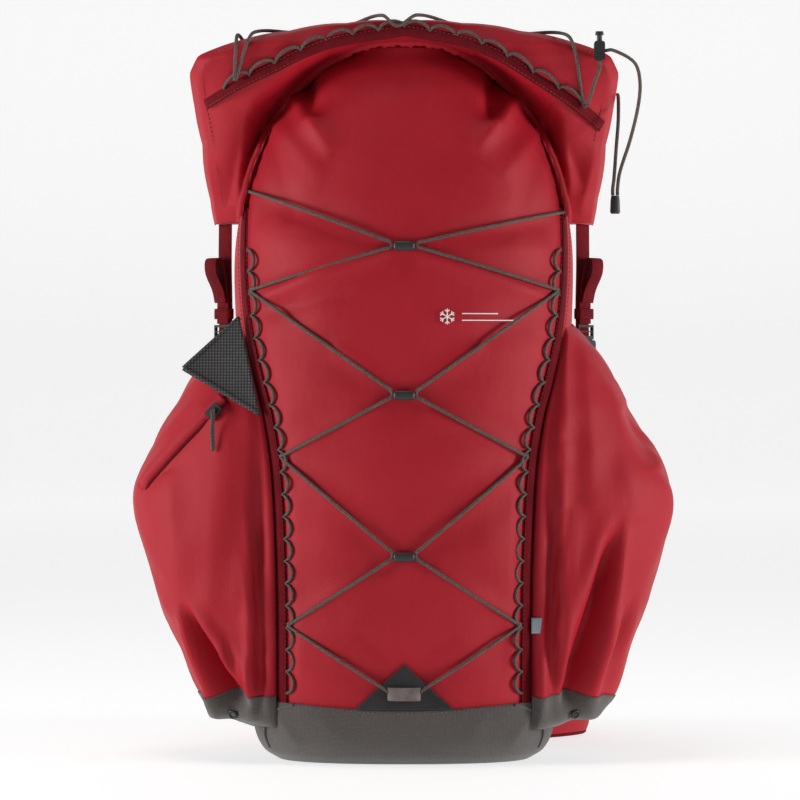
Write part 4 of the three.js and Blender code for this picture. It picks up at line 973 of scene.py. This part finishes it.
def build_front_patch():
    rows = []
    for share in np.linspace(0, 1, 14):
        z = lerp(BASE_HIGH - 6, 86, share)
        reach = lerp(41, 0.6, share)
        rows.append([(x, z) for x in np.linspace(-reach, reach, 16)])
    attach(surface_patch("patch_cloth", rows, 2.6, 1.0, "patch"), "bag", "padding", "front_patch")
    path = []
    for t in np.linspace(-1, 1, 17):
        x = 13 * t
        lift = 2.4 + 4.4 * (1 - abs(t) ** 4)
        path.append(on_bag(x, LACE_END, lift + 0.8))
    facing = [on_bag(13 * t, LACE_END, 1) - on_bag(13 * t, LACE_END, 0) for t in np.linspace(-1, 1, 17)]
    attach(ribbon("lace_loop_webbing", path, facing, 11, 1.6, "loop"), "bag", "cord", "lace_loop")


# ---- Roll-top -------------------------------------------------------------------------------------------
# Its outer edge and its front hem, from the foot to the middle, (x, z).
HOOD_OUTER = [(163, 455), (166, 476), (171, 520), (177, 552), (179, 576), (171, 590), (138, 602)]
HOOD_OUTER += [(96, 611), (48, 617.5), (0, 619)]
HOOD_HEM = [(135, 455), (130, 485), (119, 514), (106, 539), (90, 560), (78, 574), (54, 590), (34, 598)]
HOOD_HEM += [(0, 600.5)]
# The arch that the roll-top leaves open for the bag, from its foot to the middle, (x, z).
HOOD_ARCH = [(138, 455), (136, 485), (124, 520), (100, 556), (59, 592), (49, 597), (0, 601)]
# Its rear face seen from the side, (y, z).
HOOD_REAR = [(58, 455), (62, 479), (87, 545), (88, 588), (80, 610), (78, 620)]


def polar(keys):
    """Keys of the distance from the roll-top's low centre at each turn, both sides."""
    right = [(math.atan2(z - HOOD_LOW, x), math.hypot(x, z - HOOD_LOW)) for x, z in keys]
    left = [(math.pi - turn, far) for turn, far in right[:-1]]
    return right + left[::-1]


def hood_profile(turn):
    """The front hem's, the inside arch's and the outer edge's place (x, z) at a turn from +X."""
    places = []
    for keys in (HOOD_HEM, HOOD_ARCH, HOOD_OUTER):
        table = polar(keys)
        far = np.interp(turn, [key[0] for key in table], [key[1] for key in table])
        places.append(np.array([math.cos(turn) * far, HOOD_LOW + math.sin(turn) * far]))
    return places


# Creases of the roll-top's front, as seen from the front: start, end, half width, height.
HOOD_FOLDS = [
    ((-128, 470), (-96, 552), 8, 2.6),
    ((-150, 470), (-128, 548), 9, -2.2),
    ((-112, 552), (-60, 590), 6, 2.2),
    ((-96, 572), (-40, 602), 4, -1.6),
    ((128, 470), (100, 548), 9, 2.6),
    ((154, 480), (124, 545), 9, -2.2),
    ((118, 545), (66, 588), 6, 2.2),
    ((150, 462), (164, 520), 8, 2.0),
    ((-160, 560), (-90, 604), 8, 1.6),
    ((-60, 610), (-30, 616), 5, 1.2),
    ((90, 596), (160, 566), 8, 1.8),
    ((120, 602), (172, 580), 6, -1.4),
]


def hood_surface(x, z, share):
    """The Y of the roll-top's front, where share runs from the hem to the outer edge."""
    hem = min(bag_front(x * 0.985, min(z, 590)) - 6, -6)
    face = hood_front(z) + hood_turn(x, z)
    rolled = lerp(hem, face, float(ease(-0.02, 0.3, share)))
    below_tape = 1 - float(ease(-18, -6, z - hood_tape(x)))
    creases = HOOD_CREASING * sum(fold(x, z, *crease) for crease in HOOD_FOLDS)
    creases *= float(ease(0.02, 0.2, share)) * below_tape
    return rolled - creases * (1 - float(ease(0.85, 1, share))) + 13 * float(ease(0.86, 1.0, share)) ** 1.5


def build_hood():
    turns = np.linspace(0, math.pi, 200)
    rear_y, rear_z = np.array(HOOD_REAR, float).T
    rows = []
    for i, turn in enumerate(turns):
        hem, arch, outer = hood_profile(turn)
        gather = math.sin(i * 0.93) + 0.7 * math.sin(i * 0.41 + 1.2)
        row = []
        for share in np.linspace(0, 1, 26):
            x, z = lerp(hem, outer, share)
            near_tape = math.exp(-(((z - hood_tape(x)) / 9) ** 2))
            pleat = 1.3 * gather * math.exp(-share / 0.16) * (1 - near_tape)
            wave = 1.6 * float(ripple(x, z, 6.1, 60)) * float(ease(0, 0.2, share)) * (1 - near_tape)
            row.append((x, hood_surface(x, z, share) + pleat - wave, z))
        x, z = outer
        front, back = hood_surface(x, z, 1.0), np.interp(z, rear_z, rear_y)
        for share in np.linspace(0, 1, 14)[1:-1]:
            dip = 1.2 * float(ripple(x * 2 + z, share * 160, 2.2, 55))
            row.append((x, lerp(front, back, share), z + dip * 0.6 - 1.2 * math.sin(math.pi * share)))
        for share in np.linspace(1, 0, 10):
            bx, bz = lerp(arch, outer, share)
            row.append((bx, np.interp(bz, rear_z, rear_y) - 6 * float(ease(0.85, 1, share)), bz))
        start, stop = np.array(row[-1]), np.array(row[0])
        for share in np.linspace(0, 1, 12)[1:-1]:
            point = lerp(start, stop, share)
            point[0], point[2] = lerp(arch, hem, float(ease(0.7, 1, share)))
            row.append(tuple(point))
        rows.append(row)
    attach(swept("roll_top_cloth", rows, "shell"), "roll_top", "shell", "roll_top")


def build_hem():
    """The rolled hem of the roll-top, gathered in small tucks over the middle of the front."""
    turns = np.linspace(0.02, math.pi - 0.02, 420)
    rows = []
    around = np.linspace(0, 2 * math.pi, 16, endpoint=False)
    for i, turn in enumerate(turns):
        hem, _, outer = hood_profile(turn)
        tuck = math.sin(i * 0.9) * 0.5 + math.sin(i * 0.37 + 1) * 0.5
        strength = math.exp(-(((turn - math.pi / 2) / 0.75) ** 2))
        radius = 2.9 + 0.9 * tuck * strength
        x, z = lerp(hem, outer, 0.035)
        y = hood_surface(x, z, 0.02) + 1.0 + 0.8 * tuck * strength
        spoke = np.array([x, 0, z]) - np.array([0, 0, HOOD_LOW])
        spoke /= np.linalg.norm(spoke)
        middle = np.array([x, y, z])
        deep = np.array([0, radius, 0])
        rows.append([middle + spoke * radius * 1.25 * math.cos(a) + deep * math.sin(a) for a in around])
    attach(swept("roll_top_hem", rows, "shell"), "roll_top", "shell")


def on_hood(x, rise, out):
    z = hood_tape(x) + rise
    return np.array([x, hood_front(min(z, HOOD_TOP - 16)) + hood_turn(x, z) - out, z])


def build_hood_seams():
    """A row of stitches down each side of the roll-top's front."""
    for name, side in SIDES:
        line = []
        for z in np.linspace(466, 596, 60):
            outer = np.interp(z, [p[1] for p in HOOD_OUTER], [p[0] for p in HOOD_OUTER])
            line.append((side * (outer - 11), hood_front(z) + hood_turn(outer - 11, z) - 0.4, z))
        attach(stitches(name + "_hood_stitch", line, (0, -1, 0), 2.4, 1.5), "roll_top", "trim")


def build_hood_trim():
    build_hem()
    build_hood_seams()
    xs = np.linspace(-166, 166, 120)
    path = np.array([on_hood(x, 0, 1.8) for x in xs])
    facing = np.tile([0.0, -1.0, 0.12], (len(xs), 1))
    tape = ribbon("roll_top_band", path, facing, TAPE, 1.5, "trim")
    attach(tape, "roll_top", "trim", "roll_top_tape")
    for rise, name in ((-3.6, "low"), (3.6, "high")):
        row = stitches("roll_top_stitch_" + name, path + np.array([0, -0.8, rise]), facing, STITCH, STITCH_GAP)
        attach(row, "roll_top", "trim")
    points = []
    count, pitch = 14, 300 / 14
    for i in range(count * 12 + 1):
        share = (i / 12) % 1
        bulge = math.sin(math.pi * share) ** 0.6
        points.append(on_hood(-150 + pitch * i / 12, 3 + 6 * bulge, 1.8 + 1.6 * bulge))
    attach(tube("roll_top_loops", points, LOOP_CORD, "cord"), "roll_top", "cord", "roll_top_loop_cord")
    build_top_lace()


def build_top_lace():
    """The elastic zig-zag from the front tape to the back of the roll-top and on to the cord lock."""
    lift = CORD + 1.5

    def front(share):
        x, y, z = on_hood(share * HOOD_HALF, 4, CORD + 4.6)
        return [(x, y, z)]

    def rear(share):
        x = share * HOOD_HALF
        return [(x, HOOD_BACK - 40, float(hood_roof(x)) + lift)]

    def over(a, b):
        x = lerp(a[0], b[0], 0.12)
        face = (x, -HOOD_FRONT - 4, float(hood_roof(x)) - 8)
        x = lerp(a[0], b[0], 0.22)
        brow = (x, -HOOD_FRONT + 8, float(hood_roof(x)) + lift + 0.5)
        x = lerp(a[0], b[0], 0.6)
        middle = (x, -26, float(hood_roof(x)) + lift)
        return [face, brow, middle] if a[2] < face[2] - 6 else [brow, middle]

    turns = [rear(-0.74), front(-0.78), rear(-0.36), front(-0.03), rear(0.38), front(0.84)]
    points = list(turns[0])
    for i, turn in enumerate(turns[1:]):
        between = over(turns[i][0], turn[0]) if i % 2 else over(turn[0], turns[i][0])[::-1]
        points += between + turn
    x, y, z = lock_place()
    foot = z - 8
    near = lerp(points[-1][0], x, 0.7)
    points += [(near, y - 2, foot - 16), (x, y - 1, foot - 6), (x, y - 1, foot - 0.6)]
    attach(tube("top_lacing", curve_through(points, 420), CORD, "cord"), "roll_top", "cord", "top_lace")


def lock_place():
    x = HOOD_HALF * 0.9
    return np.array([x, -HOOD_FRONT - 4, float(hood_roof(x)) - 3])


# ---- The hanging loop of cord ---------------------------------------------------------------------------
def build_hanging_cord():
    lx, ly, lz = lock_place()
    ex, ey, ez = HOOD_HALF - 3, -HOOD_FRONT + 30, lz - 118
    outer = [
        (lx + 4.8, ly, lz),
        (lx + 11.5, ly + 1, lz + 0.5),
        (HOOD_HALF + 10.9, ly + 4, lz - 9),
        (HOOD_HALF + 16.1, ly + 10, lz - 24),
        (HOOD_HALF + 15.1, ly + 16, lz - 44),
        (HOOD_HALF + 8.8, ly + 22, lz - 72),
        (ex + 4, ey, ez + 20),
        (ex + 2, ey, ez + 6),
        (ex + 2, ey, ez + 0.3),
    ]
    inner = [
        (HOOD_HALF + 1.5, ey + 44, HOOD_TOP - 58),
        (HOOD_HALF + 1.5, ey + 36, HOOD_TOP - 60),
        (HOOD_HALF + 1, ey + 22, HOOD_TOP - 68),
        (HOOD_HALF, ey + 9, HOOD_TOP - 84),
        (ex + 1, ey + 2, ez + 40),
        (ex - 1, ey, ez + 14),
        (ex - 2, ey, ez + 6),
        (ex - 2, ey, ez + 0.3),
    ]
    # The inner strand is followed upwards, from the cord end back into the roll-top.
    for name, route, end in (("outer", outer, "fitting"), ("inner", inner[::-1], "object")):
        path = curve_through(route, 36)
        piece = tube(f"hanging_cord_{name}_strand", path, CORD, "cord")
        attach(piece, "roll_top", "cord", "hanging_cord_" + name)


# ---- Back pad, shoulder straps and hip belt -------------------------------------------------------------
BACK_PAD = dict(half=112, low=60, high=535, corner=30, thick=11)
PAD_FACE = BAG["back"] + 0.3 + BACK_PAD["thick"]
SHOULDER = dict(width=60, thick=11, top_x=49, end_x=77, depth=74, fall=275, top_z=518)
SHOULDER_KEYS = [
    (0.02, 0, 0),
    (-0.07, 0.24, 0.03),
    (-0.075, 0.55, 0.08),
    (0.05, 0.86, 0.2),
    (0.22, 1, 0.38),
    (0.45, 1, 0.6),
    (0.68, 0.82, 0.8),
    (0.93, 0.5, 1),
]
BELT = dict(height=84, thick=13, z=46, webbing=25, root_x=64, root_y=110.6)
BELT_KEYS = [(-16, 0), (8, 2), (48, 24), (82, 52), (98, 80), (92, 110), (66, 132)]
BELT_SPREAD = {-1: 0.5, 1: 1.0}
RAIL_X = 51
RAIL_Y = 193.1
STERNUM_Z = 392
WEB = 1.6
STRAP_WIDTH = 20


def bag_rear(x, z):
    half, _, back = bag_section(z)
    return back * (1 - np.clip(np.abs(x) / half, 0, 1) ** 5) ** 0.2


def rounded_grid(half, low, high, corner, rows, columns):
    """Places over a rectangle with rounded corners, and each one's distance from its edge."""
    z = np.linspace(low + 0.2, high - 0.2, rows)
    from_end = np.minimum(z - low, high - z)
    cut = corner - np.sqrt(np.maximum(corner**2 - np.maximum(corner - from_end, 0) ** 2, 0))
    across = np.linspace(-1, 1, columns)
    x = np.outer(half - cut, across)
    zz = np.repeat(z[:, None], columns, axis=1)
    edge = np.minimum(from_end[:, None], (half - cut)[:, None] - np.abs(x))
    return x, zz, edge


def pad_plate(name, size, behind, thick, material, grooves=None, rows=70, columns=60):
    """A foam pad on the back, thin at its edge, with its grooves pressed in."""
    x, z, edge = rounded_grid(size[0], size[1], size[2], size[3], rows, columns)
    base = behind(x, z)
    swell = 0.25 + 0.75 * np.sqrt(np.clip(edge / 9, 0, 1))
    high = thick * swell
    if grooves:
        high = high - grooves(x, z) * (swell > 0.5)
    top = np.stack([x, base + high, z], axis=2)
    bottom = np.stack([x, base, z], axis=2)
    return closed_between(name, top, bottom, material)


def back_grooves(x, z):
    """One channel up the middle and slanting ones to both sides."""
    middle = 5.5 * np.exp(-((x / 13) ** 2)) * ease(150, 185, z) * ease(480, 460, z)
    slant = 0
    for start in (195, 262, 329, 396):
        slant = slant + 3.2 * np.exp(-(((z - start - 0.28 * np.abs(x)) / 5) ** 2))
    return middle + slant * ease(14, 24, np.abs(x)) * ease(108, 96, np.abs(x)) * ease(478, 462, z)


def build_back():
    low_pad = PAD_FACE - 0.5
    size = (BACK_PAD["half"], BACK_PAD["low"], BACK_PAD["high"], BACK_PAD["corner"])

    def on_rear(x, z):
        return bag_rear(x, z) + 0.6

    pad = pad_plate("back_pad", size, on_rear, 11, "padding", back_grooves, 150, 90)
    attach(pad, "bag", "padding", "back_panel")

    def flat(x, z):
        return np.full_like(x, low_pad)

    lumbar = pad_plate("lumbar_pad", (58, 66, 150, 16), flat, 9.4, "padding")
    cushion = pad_plate("lumbar_cushion", (50, 108, 148, 12), lambda x, z: flat(x, z) + 8, 3.5, "mesh")
    yoke = pad_plate("shoulder_yoke", (82, 488, 524, 6), flat, 10.5, "padding")
    for piece in (lumbar, cushion, yoke):
        attach(piece, "bag", "padding")


def padded_sweep(name, path, wide, width, thick, material):
    """A padded strap along a path: wide is the direction of its width."""
    turns = np.linspace(0, 2 * math.pi, 40, endpoint=False)
    c, k = np.cos(turns), np.sin(turns)
    width = np.broadcast_to(width, (len(path),))
    rows = []
    for i, (point, tangent) in enumerate(zip(path, directions(path))):
        across = square_to(tangent, np.array(wide, float))
        out = np.cross(across, tangent)
        u = np.sign(c) * np.abs(c) ** 0.45 * width[i] / 2
        v = np.sign(k) * np.abs(k) ** 0.8 * thick / 2 * (1 - 0.22 * np.abs(u * 2 / width[i]) ** 3)
        end = min(i, len(path) - 1 - i)
        v = v * (0.62 + 0.38 * min(1, end / 3))
        rows.append(point + np.outer(u, across) + np.outer(v, out))
    return swept(name, rows, material)


def bind_edges(name, path, wide, width, body):
    """Tape round both edges of a strap."""
    width = np.broadcast_to(width, (len(path),))
    across = [square_to(tangent, np.array(wide, float)) for tangent in directions(path)]
    for number, side in enumerate((-1, 1)):
        line = [p + a * side * (w / 2 - 0.4) for p, a, w in zip(path, across, width)]
        attach(tube(f"{name}_binding_{number}", line, BINDING, "trim"), body, "trim")


def shoulder_path(side, count=70):
    points = []
    for fall, depth, across in SHOULDER_KEYS:
        x = side * lerp(SHOULDER["top_x"], SHOULDER["end_x"], across)
        y = 105.6 + depth * SHOULDER["depth"]
        points.append((x, y, SHOULDER["top_z"] - fall * SHOULDER["fall"]))
    return curve_through(points, count)


def build_shoulder(name, side):
    path = shoulder_path(side)
    width = SHOULDER["width"]
    pad = padded_sweep(name + "_shoulder_cloth", path, (1, 0, 0), width, SHOULDER["thick"], "shell")
    attach(pad, "bag", "shell", name + "_shoulder_pad")
    bind_edges(name + "_shoulder", path, (1, 0, 0), width, "bag")
    rail = [(side * RAIL_X, RAIL_Y - 11, STERNUM_Z - 43), (side * RAIL_X, RAIL_Y - 3, STERNUM_Z - 43)]
    rail += [(side * RAIL_X, RAIL_Y, STERNUM_Z + z) for z in (-40, -20, 0, 20, 40)]
    rail += [(side * RAIL_X, RAIL_Y - 3, STERNUM_Z + 43), (side * RAIL_X, RAIL_Y - 11, STERNUM_Z + 43)]
    attach(tube(name + "_sternum_rail", curve_through(rail, 50), 2.2, "plastic"), "bag", "plastic")
    end, along = path[-1], path[-1] - path[-2]
    along /= np.linalg.norm(along)
    start = end + along * 27.5
    foot = np.array([side * (BACK_PAD["half"] - 14), PAD_FACE + 3, 168])
    web = webbing_between(name + "_load_webbing", start, foot, STRAP_WIDTH)
    attach(web, "bag", "trim", name + "_lower_webbing")
    top = [end + along * shift for shift in (-24, -12, -2, 4.6)]
    lift = np.array([0, 1, 0.35]) * 4.2
    stub = [top[0] + lift * 1.55, top[1] + lift * 1.55, top[2] + lift * 1.15, top[3]]
    tab = ribbon(name + "_adjuster_tab", curve_through(stub, 14), (0, 1, 0.4), 22, WEB, "trim")
    attach(tab, "bag", "trim")


def webbing_between(name, start, end, width):
    path = np.array([lerp(np.array(start), np.array(end), t) for t in np.linspace(0, 1, 24)])
    path[:, 1] += 1.2 * np.sin(np.linspace(0, math.pi, 24))
    return ribbon(name, path, (0, 1, 0.2), width, WEB, "trim")


def build_sternum():
    y = RAIL_Y + 2.2 + 2.8 + 1
    for name, side in SIDES:
        inner = -3 - 11.3 if side < 0 else -3 + 14
        y_band = y if side < 0 else y - 2.6
        loop = []
        for turn in np.linspace(-0.5 * math.pi, 1.12 * math.pi, 18):
            loop.append((side * (RAIL_X + 3.6 * math.cos(turn)), RAIL_Y - 3.6 * math.sin(turn), STERNUM_Z))
        path = [(inner, y_band, STERNUM_Z), (side * (RAIL_X - 12), y_band, STERNUM_Z)]
        path.append((side * (RAIL_X - 3), y_band - 1, STERNUM_Z))
        whole = np.concatenate([curve_through(path, 20), np.array(loop)])
        facing = np.cross(np.gradient(whole, axis=0), (0, 0, 1))
        band = ribbon(name + "_sternum_band", whole, facing, 15, 1.4, "trim")
        attach(band, "sternum_" + name, "trim", name + "_sternum_webbing")


def belt_path(side, count=60):
    spread = BELT_SPREAD[side]
    points = [(side * (BELT["root_x"] + x * spread), BELT["root_y"] + y, BELT["z"]) for x, y in BELT_KEYS]
    return curve_through(points, count)


def build_belt(name, side):
    path = belt_path(side)
    share = np.linspace(0, 1, len(path))
    width = BELT["height"] * (1 - 0.2 * ease(0.8, 1, share))
    wing = padded_sweep(name + "_belt_cloth", path, (0, 0, 1), width, BELT["thick"], "shell")
    attach(wing, name + "_belt", "shell", name + "_belt_wing")
    bind_edges(name + "_belt", path, (0, 0, 1), width, name + "_belt")
    x = path[0][0] - side * 3
    hinge = [(x, BELT["root_y"] - 4, BELT["z"] + z) for z in np.linspace(-36, 38, 12)]
    attach(tube(name + "_belt_hinge", hinge, 4.6, "trim", 12), "bag", "trim")
    tip = path[-1]
    moves = [(9, -7.6), (-4, 1.6), (-14, 9), (-26, 15), (-38, 16)] + ([(-48, 16)] if side < 0 else [])
    line = [(tip[0] + side * x, tip[1] + y, tip[2]) for x, y in moves]
    web = ribbon(name + "_belt_band", curve_through(line, 40), (0, 1, 0), BELT["webbing"], WEB, "trim")
    attach(web, name + "_belt", "trim", name + "_belt_webbing")


def build_haul_loop():
    y = PAD_FACE + 7
    shape = [(-12, 0, -30), (-11.8, 1, -12), (-8.4, 2, -2), (0, 3, 0)]
    shape += [(-x, dy, z) for x, dy, z in shape[2::-1]]
    path = curve_through([(x, y + dy, 552 + z) for x, dy, z in shape], 50)
    attach(tube("haul_loop_band", path, 3.2, "trim", 14), "haul_loop", "trim", "haul_loop")


# ---- Side straps, zip, wing and small parts -------------------------------------------------------------
def strap_frame(side):
    """The frame of a side strap: x across the webbing, y out of its face, z up."""
    turn = Matrix.Rotation(math.radians(55) * side, 4, "Z")
    return Matrix.Translation((side * (BAG["half"] + 13), STRAP_Y, 344)) @ turn


def in_frame(matrix, points):
    return np.array([tuple(matrix @ Vector(point)) for point in points])


def local_ribbon(name, matrix, points, width, thick, count=30, flat=(0, -1, 0)):
    path = in_frame(matrix, curve_through(points, count))
    facing = tuple(matrix.to_3x3() @ Vector(flat))
    return ribbon(name, path, facing, width, thick, "trim")


def build_side_strap(name, side):
    place = strap_frame(side)
    upper = [(0, 2.6, 13), (0, 3.1, 40), (0, 2.4, 76), (0, 2.6, 110.7)]
    web = local_ribbon(name + "_strap_band", place, upper, STRAP_WIDTH, WEB)
    attach(web, "roll_top", "trim", name + "_side_strap")
    lower = [(0, 0, -23.3), (0, 0.3, -17), (0, 0, -11.3)]
    tab = local_ribbon(name + "_strap_tab", place, lower, STRAP_WIDTH, WEB, 8)
    attach(tab, "bag", "trim", name + "_buckle_tab")
    tail = [(0.2, 25), (0.2, 45), (-2.4, 66), (-7, 80), (-12, 79), (-11.6, 68), (-5, 54), (-2.2, 43)]
    back = local_ribbon(name + "_strap_end", place, [(0, y, z) for y, z in tail], 18, 1.5, 60)
    attach(back, name + "_tongue", "trim", name + "_strap_tail")
    low, high = 29, 38
    ring = []
    for x, y in ((-11, -1.6), (-11, 3.9), (11, 3.9), (11, -1.6)):
        ring.append((x, y, (low + high) / 2))
    corners = in_frame(place, ring + ring[:2])
    band = []
    for a, b in zip(corners[:-1], corners[1:]):
        band += [lerp(a, b, t) for t in (0.12, 0.5, 0.88)]
    middle = np.mean(corners[:4], axis=0)
    keeper = ribbon(name + "_keeper", band[:13], np.array(band[:13]) - middle, high - low, 1.4, "trim")
    attach(keeper, name + "_tongue", "trim")


def build_wing():
    """The stiff mesh flap, bound along its two free edges."""
    top_z, foot_z = 0.63 * BAG["height"], 0.495 * BAG["height"]

    def corner(z):
        at = panel_half(z)
        return np.array([-(at + TAPE / 2 + 2.2), float(bag_front(at, z)) - 4.5, z])

    top, foot = corner(top_z), corner(foot_z)
    tip = lerp(foot, top, 0.47) + np.array([-56, 9, 0])
    rows = []
    for share in np.linspace(0, 1, 26):
        a, b = lerp(foot, tip, share), lerp(top, tip, share)
        row = []
        for t in np.linspace(0, 1, 26):
            point = lerp(a, b, t)
            point[1] += 2.2 * math.sin(math.pi * share) * math.sin(math.pi * t) - 0.8
            row.append(point)
        rows.append(row)
    top_grid = np.array(rows)
    top_grid[-1] = top_grid[-1] + np.linspace(-0.4, 0.4, 26)[:, None] * np.array([0, 0, 1])
    wing = closed_between("wing_mesh", top_grid, top_grid + np.array([0, 1.4, 0]), "mesh")
    attach(wing, "mesh_wing", "mesh", "mesh_wing")
    for number, (a, b) in enumerate(((foot, tip), (top, tip))):
        line = [lerp(a, b, t) + np.array([0, 0.1, 0]) for t in np.linspace(0, 1, 20)]
        attach(ribbon(f"wing_binding_{number}", line, (0, -1, 0), 4, 2.2, "mesh"), "mesh_wing", "mesh")


def zip_arc():
    """The zip's arc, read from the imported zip: its centre, axis, radius and the turns of its two ends."""
    centre = np.array([-69.45, 206.84, 272.391])
    axis = np.array([0.64, -0.256, -0.725])
    axis /= np.linalg.norm(axis)
    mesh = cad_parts["pocket_zip"].data
    points = np.array([v.co for v in mesh.vertices]) / MM - centre
    flat = points - np.outer(points @ axis, axis)
    start = flat[0] / np.linalg.norm(flat[0])
    side = np.cross(axis, start)
    turns = np.arctan2(flat @ side, flat @ start)
    radius = np.median(np.linalg.norm(flat, axis=1))
    return centre, axis, radius, start, side, turns.min(), turns.max()


def build_zip():
    centre, axis, radius, start, side, first, last = zip_arc()

    def at(turn, out=0.0, across=0.0):
        spoke = start * math.cos(turn) + side * math.sin(turn)
        return centre + spoke * (radius + out) + axis * across

    turns = np.linspace(first, last, 60)
    if at(first)[0] < at(last)[0]:
        turns = turns[::-1]
    dive = 6 * ease(0.86, 1, np.linspace(0, 1, 60))
    spokes = np.array([start * math.cos(t) + side * math.sin(t) for t in turns])
    coil = tube("zip_coil", [at(t, -1.6 - deep) for t, deep in zip(turns, dive)], 1.5, "trim")
    attach(coil, "bag", "trim", "pocket_zip")
    for name, across in (("upper", 5.6), ("lower", -5.6)):
        line = [at(t, -2.0 - deep, across) for t, deep in zip(turns, dive)]
        attach(ribbon(f"zip_{name}_tape", line, spokes, 9, 1.6, "shell"), "bag", "shell")
        line = [at(t, -1.8 - deep, across * 1.25) for t, deep in zip(turns, dive)]
        attach(stitches(f"zip_{name}_stitch", line, spokes, 2.2, 1.4), "bag", "trim")
    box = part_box("zip_pull")
    low, high = np.array(box[0]) / MM, np.array(box[1]) / MM
    x, y = (low[0] + high[0]) / 2, (low[1] + high[1]) / 2
    drop = [(0, 0, high[2] - 1.5), (0.4, -0.3, high[2] - 8), (-0.4, 0, high[2] - 18), (0.5, 0, low[2] + 1)]
    path = [(x + dx, y + dy, z) for dx, dy, z in drop]
    attach(tube("zip_pull_cord", curve_through(path, 30), 1.15, "cord"), "zip_pull", "cord", "zip_pull")
    second = [(px + 1.5, py + 0.2, pz + 1.2) for px, py, pz in path]
    attach(tube("zip_pull_cord_2", curve_through(second, 30), 1.1, "cord"), "zip_pull", "cord")


def build_tag():
    low, high = (np.array(corner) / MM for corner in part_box("side_tag"))
    xs = np.linspace(low[0] - 3, high[0] - 2, 8)
    rows = []
    for z in np.linspace(low[2], high[2], 8):
        rows.append([(x, float(pocket_front(x, z)) - 1.0, z) for x in xs])
    attach(closed_sheet("side_tag_cloth", np.array(rows), -0.8, "label"), "bag", "label", "side_tag")


build_stage()
build_hanging_cord()
build_bag()
build_base()
build_base_seams()
build_eyelets()
build_print()
for pocket_name, pocket_side in SIDES:
    build_pocket(pocket_name, pocket_side)
build_tapes()
build_lace()
build_front_patch()
build_hood()
build_hood_trim()
build_back()
for side_name, side_sign in SIDES:
    build_shoulder(side_name, side_sign)
    build_belt(side_name, side_sign)
    build_side_strap(side_name, side_sign)
build_sternum()
build_haul_loop()
build_wing()
build_zip()
build_tag()

def both(*parts):
    """The names of nodes that come once on each side."""
    return [f"{side_name}_{part}" for part in parts for side_name, _ in SIDES]


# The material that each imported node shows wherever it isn't covered.
NODE_MATERIALS = {
    "mesh": ["mesh_wing"],
    "trim": ["pocket_zip", "haul_loop"]
    + both("side_strap", "buckle_tab", "strap_tail", "lower_webbing", "sternum_webbing", "belt_webbing"),
    "shell": both("shoulder_pad", "belt_wing"),
    "padding": ["back_panel"],
    "plastic": ["zip_slider", "cord_lock", "cord_lock_button", "cord_end"]
    + ["sternum_female", "sternum_tongue", "belt_female", "belt_tongue"]
    + both("buckle_female", "buckle_tongue", "strap_adjuster"),
    "cord": ["zip_pull"],
    "alloy": ["frame_stay"],
    "frame_plastic": ["frame_sheet"],
    "label": ["side_tag"],
}
for material_name, node_names in NODE_MATERIALS.items():
    for node_name in node_names:
        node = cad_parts[node_name]
        node.data.materials.clear()
        node.data.materials.append(MATERIALS[material_name])
